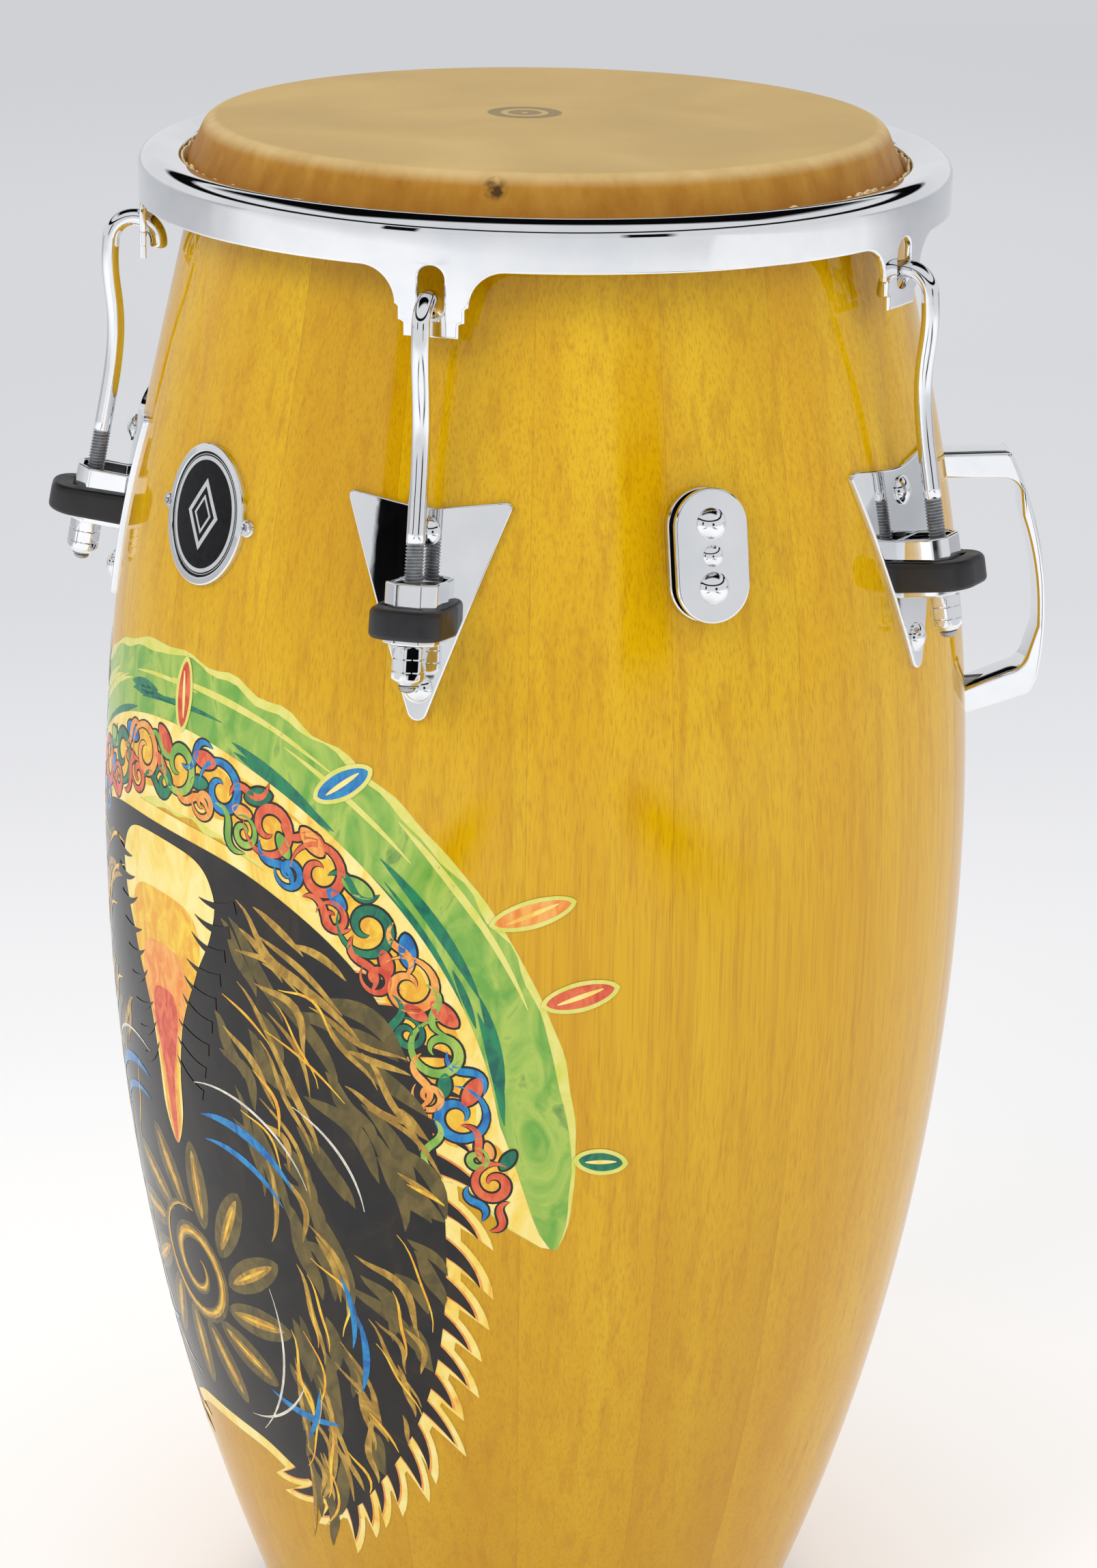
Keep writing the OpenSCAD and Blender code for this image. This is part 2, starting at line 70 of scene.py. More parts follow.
LEAN = 11.0
LUGS = range(1, 6)
STAVES = 20
SEAM_TURN = 4.5
SEAT_H = 600.0
ROD_X = 17.0
ROD_R = 3.97
ROD_SIDES = 32
PITCH = 1.411
PLATE_T = 2.6
BRACKET_LOW, BRACKET_TOP = -26.9, -1.0
BRACKET_W, BRACKET_X = 22.8, 25.0

RIM_R, RIM_T, RIM_H = 183.6, 3.0, 746.0
RIM_INNER_R, RIM_LIP_R = 165.0, 2.0
RIM_CREST = (176.6, 750.3)
SKIRT_H, TAB_H = 728.0, 700.2
RIM_SEGMENTS = 240

HANDLE_AZ, MOUNT_AZ, BADGE_AZ = 90.0, 18.0, -54.0


def lug_az(i):
    """Azimuth of lug i."""
    return HANDLE_AZ - 180 + (i - 1) * 72


def drop(arc_r, dh):
    """How far an arc of radius arc_r has fallen away at dh from its top."""
    return arc_r - math.sqrt(arc_r * arc_r - dh * dh)


def shell_r(h):
    """Outer radius of the shell at height h."""
    if h < BELLY_H:
        return BELLY_R - drop(LOW_ARC_R, BELLY_H - h)
    if h < NECK_START:
        return BELLY_R - drop(UP_ARC_R, h - BELLY_H)
    return BELLY_R - drop(UP_ARC_R, NECK_START - BELLY_H) - NECK_SLOPE * (h - NECK_START)


def shell_lean(h):
    """Lean of the shell's own surface above the belly, in degrees."""
    return math.degrees(min(math.asin((h - BELLY_H) / UP_ARC_R), NECK_ANGLE))


EDGE_H = SHELL_H - EDGE_R
EDGE_C = shell_r(EDGE_H) - EDGE_R / math.cos(NECK_ANGLE)

# ---------------------------------------------------------------- places


def frame_of(az, origin_r, h, tilt=0.0):
    """Matrix of a fitting's frame: x leaves the drum, y runs to rising azimuth, z up; tilted back."""
    a, t = math.radians(az), math.radians(tilt)
    out = Vector((math.sin(a), -math.cos(a), 0))
    side = Vector((math.cos(a), math.sin(a), 0))
    up = Vector((0, 0, 1))
    x = out * math.cos(t) + up * math.sin(t)
    z = up * math.cos(t) - out * math.sin(t)
    m = Matrix((x, side, z)).transposed().to_4x4()
    m.translation = out * origin_r + up * h
    return m


def on_shell(az, h, tilt=LEAN):
    """Frame of a fitting whose origin lies on the shell's surface."""
    return frame_of(az, shell_r(h), h, tilt)


def around(r, az, h):
    """The point at a radius, azimuth and height."""
    a = math.radians(az)
    return Vector((r * math.sin(a), -r * math.cos(a), h))


def at_lug(i, mesh):
    """A mesh drawn round the seat of lug i, placed in the drum's frame."""
    return moved(on_shell(lug_az(i), SEAT_H), mesh)


def hug(m, y, z, lift):
    """The point at (y, z) of a fitting's frame that lies lift in front of the shell."""
    x = 0.0
    for _ in range(6):
        p = m @ Vector((x, y, z))
        x += shell_r(p.z) + lift - math.hypot(p.x, p.y)
    return m @ Vector((x, y, z))


# ---------------------------------------------------------------- outlines


def arc(c, r, a, b, n):
    """Points of an arc round c from angle a to b, in degrees, in n steps."""
    steps = [math.radians(a + (b - a) * k / n) for k in range(n + 1)]
    return [(c[0] + r * math.cos(t), c[1] + r * math.sin(t)) for t in steps]


def corner(p, q, s, r, n=8):
    """The corner at q, between p and s, rounded to radius r."""
    p, q, s = Vector(p), Vector(q), Vector(s)
    u, v = (p - q).normalized(), (s - q).normalized()
    half = u.angle(v) / 2
    c = q + (u + v).normalized() * (r / math.sin(half))
    d = r / math.tan(half)
    t0, t1 = q + u * d - c, q + v * d - c
    a = math.degrees(math.atan2(t0.y, t0.x))
    turn = math.degrees(math.atan2(t1.y, t1.x)) - a
    turn = (turn + 180) % 360 - 180
    return arc(c, r, a, a + turn, n)


def rounded(points, radii, n=8):
    """A closed outline whose corners have the radii given; 0 leaves a corner sharp."""
    out = []
    for k, (q, r) in enumerate(zip(points, radii)):
        out += [q] if r == 0 else corner(points[k - 1], q, points[(k + 1) % len(points)], r, n)
    return out


def ellipse(w, h, n=96):
    """A closed ellipse, anticlockwise."""
    return [(w / 2 * math.cos(t), h / 2 * math.sin(t)) for t in (math.tau * k / n for k in range(n))]


def stadium(w, h, n=24):
    """An upright outline with round ends, anticlockwise."""
    c = (h - w) / 2
    return arc((0, c), w / 2, 0, 180, n) + arc((0, -c), w / 2, 180, 360, n)


def inset(loop, d):
    """The anticlockwise outline moved inwards by d, or outwards where d is negative."""
    out = []
    for k, q in enumerate(loop):
        p, q, s = Vector(loop[k - 1]), Vector(q), Vector(loop[(k + 1) % len(loop)])
        a, b = (q - p).normalized(), (s - q).normalized()
        na, nb = Vector((-a.y, a.x)), Vector((-b.y, b.x))
        m = na + nb
        out.append(tuple(q + m * (d / max(m.dot(na), 0.4))))
    return out


# ---------------------------------------------------------------- meshes


def lathe(profile, segments, loop=True, start=0.0):
    """The outline of (radius, height) points turned round z; loop joins its last point to its first."""
    verts, faces, rings = [], [], []
    for r, h in profile:
        if r < 1e-6:
            rings.append([len(verts)])
            verts.append(Vector((0, 0, h)))
            continue
        rings.append(list(range(len(verts), len(verts) + segments)))
        verts += [around(r, start + 360 * k / segments, h) for k in range(segments)]
    pairs = list(zip(rings, rings[1:]))
    if loop:
        pairs.append((rings[-1], rings[0]))
    for a, b in pairs:
        for k in range(segments):
            n = (k + 1) % segments
            quad = [a[k % len(a)], a[n % len(a)], b[n % len(b)], b[k % len(b)]]
            face = list(dict.fromkeys(quad))
            if len(face) > 2:
                faces.append(face)
    return verts, faces


def turned(profile, segments=48):
    """A turned piece with its axis along x, drawn as (radius, x)."""
    verts, faces = lathe(profile, segments)
    return [(v.z, v.x, v.y) for v in verts], faces


def directions(path):
    """The unit direction of a path at each of its points."""
    path = [Vector(p) for p in path]
    return [(b - a).normalized() for a, b in zip(path[:1] + path[:-1], path[1:] + path[-1:])]


def strip(rings):
    """A skin over closed rings that all have the same number of points."""
    n = len(rings[0])
    verts = [p for ring in rings for p in ring]
    faces = []
    for k in range(len(rings) - 1):
        for j in range(n):
            i = (j + 1) % n
            faces.append([k * n + j, k * n + i, (k + 1) * n + i, (k + 1) * n + j])
    return verts, faces


def tube(path, radius):
    """A round rod along a path of (radius, height) points in the plane y = 0, with domed ends.
    radius is a function of the length along the rod and the angle round it."""
    path, along = [Vector(p) for p in path], directions(path)
    lengths = [0.0]
    for p, q in zip(path, path[1:]):
        lengths.append(lengths[-1] + (q - p).length)
    dome = [(math.cos(t), math.sin(t) * ROD_R * 0.55) for t in map(math.radians, (22, 45, 68))]
    sections = [(path[0] - along[0] * out, along[0], 0.0, share) for share, out in reversed(dome)]
    sections += [(p, way, s, 1.0) for p, way, s in zip(path, along, lengths)]
    sections += [(path[-1] + along[-1] * out, along[-1], lengths[-1], share) for share, out in dome]
    rings = []
    for p, way, s, share in sections:
        ring = []
        for k in range(ROD_SIDES):
            t = math.tau * k / ROD_SIDES
            r = radius(s, t) * share
            flat = p + Vector((way.y, -way.x)) * (r * math.cos(t))
            ring.append((flat.x, r * math.sin(t), flat.y))
        rings.append(ring)
    verts, faces = strip(rings)
    faces.append(list(range(ROD_SIDES)))
    faces.append(list(range(len(verts) - ROD_SIDES, len(verts))))
    return verts, faces


HOLD = 0.25


def plate(outline, x0, x1, edge, holes=(), back_edge=0.0, pin=None, steps=3, hold=HOLD):
    """A flat piece from x0 to x1 whose outline (y, z) has rounded edges at the front, and at the
    back where back_edge is set. pin(point, shrunk) may keep points of the outline where they are.
    Next to each edge a ring hold in from it keeps the flat face's shading flat."""
    turns = [math.radians(90 * k / steps) for k in range(steps + 1)]
    front = [(edge * (1 - math.cos(t)), x1 - edge * (1 - math.sin(t))) for t in turns]
    back = [(back_edge * (1 - math.cos(t)), x0 + back_edge * (1 - math.sin(t))) for t in turns]
    levels = (list(reversed(back)) if back_edge else [(0.0, x0)]) + (front if edge else [(0.0, x1)])
    if hold:
        levels = [(back_edge + hold, x0)] + levels + [(edge + hold, x1)]
    verts, faces, caps = [], [], {0: [], len(levels) - 1: []}
    for loop, sign in [(outline, 1)] + [(hole, -1) for hole in holes]:
        rings = []
        for k, (d, x) in enumerate(levels):
            shrunk = inset(loop, d * sign)
            if pin:
                shrunk = [pin(p, q) for p, q in zip(loop, shrunk)]
            rings.append(list(range(len(verts), len(verts) + len(loop))))
            verts += [(x, y, z) for y, z in shrunk]
            if k in caps:
                caps[k].append(rings[-1])
        for a, b in zip(rings, rings[1:]):
            for k in range(len(loop)):
                n = (k + 1) % len(loop)
                faces.append([a[k], a[n], b[n], b[k]])
    for rings in caps.values():
        flat = [index for ring in rings for index in ring]
        loops = [[Vector((verts[k][1], verts[k][2], 0)) for k in ring] for ring in rings]
        faces += [[flat[k] for k in triangle] for triangle in tessellate_polygon(loops)]
    return verts, faces


def refine(mesh, axis, step):
    """Cuts a mesh by evenly spaced planes across one axis (0, 1 or 2), so that it can be bent."""
    verts, faces = mesh
    bm = bmesh.new()
    made = [bm.verts.new(v) for v in verts]
    for face in faces:
        if len(set(face)) > 2 and not bm.faces.get([made[k] for k in face]):
            bm.faces.new([made[k] for k in face])
    normal = Vector([1.0 if k == axis else 0.0 for k in range(3)])
    low = math.ceil(min(v[axis] for v in verts) / step + 1e-6)
    high = math.floor(max(v[axis] for v in verts) / step - 1e-6)
    for k in range(low, high + 1):
        everything = bm.verts[:] + bm.edges[:] + bm.faces[:]
        bmesh.ops.bisect_plane(bm, geom=everything, dist=1e-5, plane_co=normal * k * step, plane_no=normal)
    bm.verts.index_update()
    out = [tuple(v.co) for v in bm.verts], [[v.index for v in f.verts] for f in bm.faces]
    bm.free()
    return out


def bent(mesh, step, where):
    """A plate cut into a grid and moved by where(x, y, z)."""
    verts, faces = refine(refine(mesh, 1, step), 2, step)
    return [where(*v) for v in verts], faces


def piece(name, parts, body, replaces=(), angle=40):
    """One Blender object from (mesh, material) parts in millimetres, riding on a CAD body if given."""
    verts, faces, materials, indices = [], [], [], []
    for (part_verts, part_faces), material in parts:
        base = len(verts)
        verts += [tuple(MM * c for c in v) for v in part_verts]
        faces += [[base + k for k in face] for face in part_faces]
        if material not in materials:
            materials.append(material)
        indices += [materials.index(material)] * len(part_faces)
    mesh = bpy.data.meshes.new(name)
    mesh.from_pydata(verts, [], faces)
    for material in materials:
        mesh.materials.append(material)
    mesh.polygons.foreach_set("material_index", indices)
    bm = bmesh.new()
    bm.from_mesh(mesh)
    bmesh.ops.remove_doubles(bm, verts=bm.verts, dist=2e-6)
    bmesh.ops.dissolve_degenerate(bm, edges=bm.edges, dist=1e-7)
    bmesh.ops.recalc_face_normals(bm, faces=bm.faces)
    bm.to_mesh(mesh)
    bm.free()
    mesh.polygons.foreach_set("use_smooth", [True] * len(mesh.polygons))
    mesh.set_sharp_from_angle(angle=math.radians(angle))
    obj = bpy.data.objects.new(name, mesh)
    bpy.context.scene.collection.objects.link(obj)
    if replaces:
        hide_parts(*replaces)
    if body:
        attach(obj, body)
    return obj


def joined(*meshes):
    """Several meshes as one; piece() welds the points that they share."""
    verts, faces = [], []
    for more_verts, more_faces in meshes:
        faces += [[len(verts) + k for k in face] for face in more_faces]
        verts += list(more_verts)
    return verts, faces


def moved(matrix, mesh):
    """A mesh placed in the drum's frame."""
    return [matrix @ Vector(v) for v in mesh[0]], mesh[1]


def upright(mesh):
    """A plate drawn as (x, y) and pushed along x, turned so that it is pushed along z."""
    return [(y, z, x) for x, y, z in mesh[0]], mesh[1]


def sideways(mesh):
    """A plate drawn as (x, z) and pushed along x, turned so that it is pushed along y."""
    return [(y, x, z) for x, y, z in mesh[0]], mesh[1]


def lid(z, outline, *holes):
    """A flat face at height z, with holes."""
    loops = [outline, *holes]
    flat = [p for loop in loops for p in loop]
    triangles = tessellate_polygon([[Vector((x, y, 0)) for x, y in loop] for loop in loops])
    return [(x, y, z) for x, y in flat], [list(t) for t in triangles]


def at_height(loop, z):
    """An (x, y) outline as points at height z."""
    return [(x, y, z) for x, y in loop]


# ---------------------------------------------------------------- materials


def linear(*rgb):
    """An sRGB colour from 0 to 255 as a linear RGBA value."""
    out = [c / 255 / 12.92 if c <= 10 else ((c / 255 + 0.055) / 1.055) ** 2.4 for c in rgb]
    return (*out, 1.0)


class Finish:
    """A procedural material under construction."""

    def __init__(self, name, **values):
        self.material = bpy.data.materials.new(name)
        self.material.use_nodes = True
        self.tree = self.material.node_tree
        self.shader = self.tree.nodes["Principled BSDF"]
        for key, value in values.items():
            self.shader.inputs[key.replace("_", " ")].default_value = value
        self.where = self.node("ShaderNodeTexCoord").outputs["Object"]

    def node(self, kind, inputs=(), **settings):
        """Adds a node; inputs are values or links, by name or place."""
        made = self.tree.nodes.new(kind)
        for key, value in settings.items():
            setattr(made, key, value)
        for key, value in dict(inputs).items():
            if isinstance(value, bpy.types.NodeSocket):
                self.tree.links.new(value, made.inputs[key])
            else:
                made.inputs[key].default_value = value
        return made

    def set(self, socket, value):
        """Links a value to the shader."""
        self.tree.links.new(value, self.shader.inputs[socket])

    def math(self, operation, a, b=0.0):
        """One calculation on two values."""
        return self.node("ShaderNodeMath", {0: a, 1: b}, operation=operation).outputs[0]

    def distance(self, a, b):
        """How far apart two points are."""
        return self.node("ShaderNodeVectorMath", {0: a, 1: b}, operation="DISTANCE").outputs["Value"]

    def axis(self, letter, vector=None):
        """One coordinate of a vector, or of the place on the object."""
        return self.node("ShaderNodeSeparateXYZ", {0: vector or self.where}).outputs[letter]

    def stretched(self, scale, rotation=(0, 0, 0), vector=None):
        """A vector, or the place on the object, scaled and turned by an angle about each axis."""
        inputs = {"Vector": vector or self.where, "Scale": scale, "Rotation": rotation}
        return self.node("ShaderNodeMapping", inputs).outputs[0]

    def noise(self, vector, scale, detail=3.0, roughness=0.55, distortion=0.0):
        """Soft noise from 0 to 1."""
        inputs = {"Vector": vector, "Scale": scale, "Detail": detail, "Roughness": roughness,
                  "Distortion": distortion}
        return self.node("ShaderNodeTexNoise", inputs).outputs["Fac"]

    def ramp(self, value, *stops):
        """Colours along a value; each stop is (place, sRGB colour)."""
        made = self.node("ShaderNodeValToRGB", {"Fac": value})
        elements = made.color_ramp.elements
        while len(elements) < len(stops):
            elements.new(0.5)
        for element, (place_on_ramp, colour) in zip(elements, stops):
            element.position = place_on_ramp
            element.color = linear(*colour)
        return made.outputs["Color"]

    def two_tone(self, value, dark, light, low=0.3, high=0.7):
        """The base colour, from one sRGB colour to another along a value."""
        self.set("Base Color", self.ramp(value, (low, dark), (high, light)))

    def span(self, value, low, high, to_low=0.0, to_high=1.0):
        """A value from low to high carried over to another span, and held at its ends."""
        inputs = {"Value": value, "From Min": low, "From Max": high, "To Min": to_low, "To Max": to_high}
        return self.node("ShaderNodeMapRange", inputs).outputs[0]

    def mix(self, factor, a, b, blend="MIX"):
        """Two colours mixed; each is a link or an sRGB colour."""
        a, b = (linear(*c) if isinstance(c, tuple) else c for c in (a, b))
        inputs = {0: factor, 6: a, 7: b}
        return self.node("ShaderNodeMix", inputs, data_type="RGBA", blend_type=blend).outputs[2]

    def bump(self, height, distance, strength=1.0):
        """Relief in metres."""
        inputs = {"Height": height, "Distance": distance, "Strength": strength}
        self.set("Normal", self.node("ShaderNodeBump", inputs).outputs[0])


def lacquered_wood():
    """Amber lacquer over upright staves, each cut from another board."""
    f = Finish("lacquered_wood", Coat_Weight=0.8, Coat_Roughness=0.03, Specular_IOR_Level=0.0)
    turn = f.stretched((1, 1, 1), rotation=(0, 0, math.radians(SEAM_TURN)))
    azimuth = f.math("ARCTAN2", f.axis("X", turn), f.math("MULTIPLY", f.axis("Y", turn), -1.0))
    staves = f.math("MULTIPLY", azimuth, STAVES / math.tau)
    board = f.math("FLOOR", staves)
    across = f.math("FRACT", staves)
    chance = f.node("ShaderNodeTexWhiteNoise", {"W": board}, noise_dimensions="1D")
    shifted = f.node("ShaderNodeVectorMath", {0: chance.outputs["Color"], 1: f.where}, operation="ADD")

    def along(height_scale):
        """The board's own coordinates, drawn out in the grain's direction."""
        return f.stretched((1, 1, height_scale), vector=shifted.outputs[0])

    rings = f.noise(along(0.014), 210, detail=3, distortion=0.15)
    wide = f.noise(along(0.05), 20, detail=2, distortion=0.5)
    fibres = f.noise(along(0.012), 1500, detail=2)
    pores = f.noise(along(0.045), 800, detail=1)
    knots = f.noise(along(0.12), 9, detail=1)
    tone = f.ramp(wide, (0.30, (208, 156, 4)), (0.50, (215, 167, 8)), (0.72, (224, 179, 16)))
    banded = f.mix(f.span(rings, 0.5, 0.66, 0.0, 0.38), tone, (186, 126, 8))
    smoky = f.mix(f.span(knots, 0.6, 0.76, 0.0, 0.24), banded, (176, 118, 12))
    stave_tone = f.span(chance.outputs["Value"], 0, 1, 0.97, 1.04)
    grey = f.node("ShaderNodeCombineColor", {0: stave_tone, 1: stave_tone, 2: stave_tone}).outputs[0]
    tinted = f.mix(1.0, smoky, grey, "MULTIPLY")
    fine = f.mix(f.span(fibres, 0.48, 0.7, 0.0, 0.42), tinted, (160, 104, 10))
    dotted = f.mix(f.span(pores, 0.68, 0.78, 0.0, 0.14), fine, (120, 72, 12))
    # Painted shade: the wood is darkened towards the foot, standing in for less light falling on the lower
    # belly.
    low = f.mix(f.span(f.axis("Z"), 0.55, 0.0, 0.0, 0.55), dotted, (176, 120, 6))
    from_seam = f.math("MINIMUM", across, f.math("SUBTRACT", 1.0, across))
    seam = f.span(from_seam, 0.001, 0.004, 0.3, 0.0)
    f.set("Base Color", f.mix(seam, low, (120, 70, 14)))
    f.set("Roughness", f.span(fibres, 0.3, 0.7, 0.38, 0.5))
    f.bump(f.noise(f.stretched((1, 1, 0.35)), 60, detail=2), 0.00015, 0.25)
    return f.material


def raw_wood():
    """Bare timber inside the shell."""
    f = Finish("raw_wood")
    fibres = f.noise(f.stretched((1, 1, 0.03)), 420, detail=4)
    f.two_tone(fibres, (176, 134, 82), (214, 178, 124))
    f.set("Roughness", f.span(fibres, 0, 1, 0.7, 0.9))
    f.bump(fibres, 0.0004, 0.5)
    return f.material


def chrome():
    """Bright plating with faint haze."""
    f = Finish("chrome", Metallic=1.0)
    haze = f.noise(f.where, 35, detail=4)
    f.two_tone(haze, (226, 228, 231), (238, 239, 241))
    f.set("Roughness", f.span(haze, 0.35, 0.75, 0.02, 0.06))
    f.bump(f.noise(f.where, 90, detail=2), 0.00006, 0.35)
    return f.material


def zinc_steel():
    """Dull plated steel."""
    f = Finish("zinc_steel", Metallic=1.0)
    bloom = f.noise(f.where, 240, detail=4)
    f.two_tone(bloom, (150, 152, 156), (188, 190, 192))
    f.set("Roughness", f.span(bloom, 0.3, 0.7, 0.28, 0.5))
    return f.material


def moulded(name, dark, light, roughness):
    """A moulded or painted surface, with a faint bloom."""
    f = Finish(name)
    bloom = f.noise(f.where, 130, detail=4)
    grit = f.noise(f.where, 2600, detail=2)
    f.two_tone(bloom, dark, light, 0.3, 0.75)
    f.set("Roughness", f.span(bloom, 0.3, 0.7, roughness - 0.06, roughness + 0.08))
    f.bump(grit, 0.00012, 0.4)
    return f.material


def enamel():
    """Glossy black enamel."""
    f = Finish("badge_enamel", Specular_IOR_Level=0.12)
    flow = f.noise(f.where, 300, detail=3)
    f.two_tone(flow, (10, 10, 11), (22, 22, 24))
    f.set("Roughness", f.span(flow, 0.3, 0.7, 0.25, 0.4))
    return f.material


def rawhide():
    """Rawhide: streaked tan on top, worn pale over the edge with a painted highlight there, darker amber on
    the collar with painted shade towards the rim.
    """
    f = Finish("rawhide", Specular_IOR_Level=0.22)
    flat = f.node("ShaderNodeCombineXYZ", {0: f.axis("X"), 1: f.axis("Y")}).outputs[0]
    radius = f.distance(flat, (0, 0, 0))
    cloud = f.noise(f.where, 9, detail=3, distortion=0.5)
    streak = f.noise(f.stretched((1, 0.1, 1), rotation=(0, 0, 0.5)), 260, detail=3)
    grain = f.noise(f.where, 2200, detail=3)
    drum_top = f.ramp(cloud, (0.3, (184, 151, 88)), (0.5, (192, 161, 99)), (0.7, (202, 172, 111)))
    top = f.mix(f.span(streak, 0.55, 0.85, 0.0, 0.06), drum_top, (164, 128, 70))
    top = f.mix(f.span(grain, 0.6, 0.8, 0.0, 0.16), top, (150, 114, 62))
    flecks = f.node("ShaderNodeTexVoronoi", {"Vector": f.where, "Scale": 55.0}).outputs["Distance"]
    top = f.mix(f.span(flecks, 0.035, 0.05, 0.5, 0.0), top, (214, 190, 140))
    away = f.distance(flat, (-0.0095, 0.0073, 0))
    ring = f.math("PINGPONG", away, 0.0046)
    print_mark = f.math("MULTIPLY", f.span(ring, 0.0012, 0.0018), f.span(away, 0.0182, 0.0186, 0.62, 0.0))
    worn_print = f.math("MULTIPLY", print_mark, f.span(grain, 0.3, 0.55, 0.6, 1.0))
    top = f.mix(worn_print, top, (84, 84, 76))
    drawn = f.noise(f.stretched((1, 1, 0.3)), 90, detail=4)
    pores = f.noise(f.where, 900, detail=2)
    collar = f.ramp(drawn, (0.3, (164, 108, 26)), (0.55, (180, 128, 42)), (0.8, (192, 142, 58)))
    collar = f.mix(f.span(pores, 0.62, 0.8, 0.0, 0.2), collar, (130, 82, 24))
    height = f.axis("Z")
    # Painted shade: the collar darkens towards the rim that stands round it.
    shaded = f.mix(f.span(height, 0.7580, 0.7440, 0.0, 0.45), collar, (142, 84, 20))
    over = f.mix(f.span(height, 0.7635, 0.7580), top, shaded)
    # Wear and painted highlight: a pale band over the rounded bearing edge.
    wear_highlight_in = f.span(radius, 0.1480, 0.1505)
    wear_highlight_out = f.span(radius, 0.1525, 0.1550, 1.0, 0.0)
    wear_and_highlight = f.math("MULTIPLY", f.math("MULTIPLY", wear_highlight_in, wear_highlight_out), f.span(drawn, 0.3, 0.7, 0.25, 0.85))
    pale = f.mix(wear_and_highlight, over, (212, 182, 130))
    ragged = f.span(f.noise(f.where, 260, detail=2), 0.35, 0.6)
    scar = f.math("MULTIPLY", ragged, blot(f, (-11, 155.0, 757.6), 6.0))
    f.set("Base Color", f.mix(f.math("MULTIPLY", scar, 0.9), pale, (52, 34, 16)))
    f.set("Roughness", f.span(cloud, 0.3, 0.7, 0.45, 0.6))
    f.bump(grain, 0.00012, 0.4)
    return f.material


def blot(f, spot, radius):
    """A soft round mask about a point given as azimuth, radius and height, in millimetres."""
    az, r, h = spot
    away = f.distance(f.where, tuple(around(r, az, h) * MM))
    return f.span(away, radius * 0.5 * MM, radius * MM, 1.0, 0.0)


def pale_hide():
    """The raw, trimmed edge of the hide."""
    f = Finish("pale_hide")
    fibres = f.noise(f.stretched((1, 1, 0.3)), 700, detail=4)
    f.two_tone(fibres, (196, 160, 104), (238, 218, 176))
    f.set("Roughness", f.span(fibres, 0, 1, 0.6, 0.85))
    f.bump(fibres, 0.0004, 0.6)
    return f.material


WOOD, RAW = lacquered_wood(), raw_wood()
CHROME, ZINC = chrome(), zinc_steel()
BLACK_RUBBER = moulded("protector_rubber", (18, 18, 20), (34, 34, 37), 0.42)
FOOT_RUBBER = moulded("foot_rubber", (20, 20, 21), (38, 38, 40), 0.62)
PLASTIC = moulded("spacer_plastic", (14, 14, 15), (26, 26, 28), 0.35)
SILVER = moulded("badge_silver", (176, 178, 178), (190, 192, 192), 0.4)
ENAMEL = enamel()
HIDE, PALE_HIDE = rawhide(), pale_hide()


def chromed(name, meshes, nodes, body="shell", angle=40):
    """A chrome-plated piece that stands for the CAD nodes given."""
    piece(name, [(mesh, CHROME) for mesh in meshes], body, nodes, angle)


# ---------------------------------------------------------------- shell and foot

SEGMENTS = 256


def spaced(low, high, step):
    """Heights from low to high, about step apart."""
    n = max(1, round((high - low) / step))
    return [low + (high - low) * k / n for k in range(n + 1)]


def make_shell():
    """The glued staves, lacquered outside and over the bearing edge, bare inside."""
    edge_top = EDGE_H + EDGE_R * math.sin(NECK_ANGLE)
    outside = [(shell_r(FOOT_T) - WALL, FOOT_T)]
    outside += [(shell_r(h), h) for h in spaced(FOOT_T, edge_top, 12)]
    outside += arc((EDGE_C, EDGE_H), EDGE_R, math.degrees(NECK_ANGLE), 90, 8)[1:]
    outside += [(shell_r(SHELL_H) - WALL, SHELL_H)]
    inside = [(shell_r(h) - WALL, h) for h in reversed(spaced(FOOT_T, SHELL_H, 16))]
    parts = [(lathe(outside, SEGMENTS, loop=False), WOOD), (lathe(inside, SEGMENTS, loop=False), RAW)]
    piece("shell_wood", parts, "shell", ["staves"])


def make_foot():
    """The moulded rubber ring that the shell stands in."""
    inner = shell_r(FOOT_T) - WALL - 1.5
    bury = 0.4
    low = corner((inner, 0), (shell_r(0) + FOOT_LIP, 0), (shell_r(4) + FOOT_LIP, 4), 1.6)
    top_r = shell_r(FOOT_H)
    lip = corner((shell_r(10) + FOOT_LIP, 10), (top_r + FOOT_LIP, FOOT_H), (top_r, FOOT_H), 1.4)
    side = [(shell_r(h) + FOOT_LIP, h) for h in (4.5, 7, 9.5)]
    seat = [(top_r - bury, FOOT_H), (shell_r(FOOT_T) - bury, FOOT_T + bury), (inner, FOOT_T + bury)]
    parts = [(lathe([(inner, 0)] + low + side + lip + seat, SEGMENTS), FOOT_RUBBER)]
    piece("foot", parts, "shell", ["base_ring"])


# ---------------------------------------------------------------- head

COLLAR_END_H = 740.5
FOLD_DEPTH, FOLD_GROWTH = 0.22, 12


def make_head():
    """The hide, drawn down over the bearing edge."""
    c, outer, collar = (EDGE_C, EDGE_H), EDGE_R + SKIN_T, math.degrees(COLLAR)

    def run_down(p):
        """Points down the collar from p, the thickness of the hide away from the shell."""
        return [(p[0] + math.tan(COLLAR) * (p[1] - h), h) for h in spaced(COLLAR_END_H, p[1], 3)[::-1]][1:]

    over = arc(c, outer, 90, collar, 10)
    flat = [(r, SHELL_H + SKIN_T) for r in (0, 3, 8, 20, 40, 60, 80, 100, 120, 135)]
    profile = flat + over + run_down(over[-1])
    under = arc(c, EDGE_R, collar, 90, 10)
    below = run_down(under[0])
    profile += below[::-1] + under + [(r, SHELL_H) for r in (130, 60, 0)]
    mesh = lathe(profile, 240)
    obj = piece("head", [(mesh, HIDE)], None, ["head_skin", "skin_tuck"], angle=60)
    pucker(obj)
    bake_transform(obj)


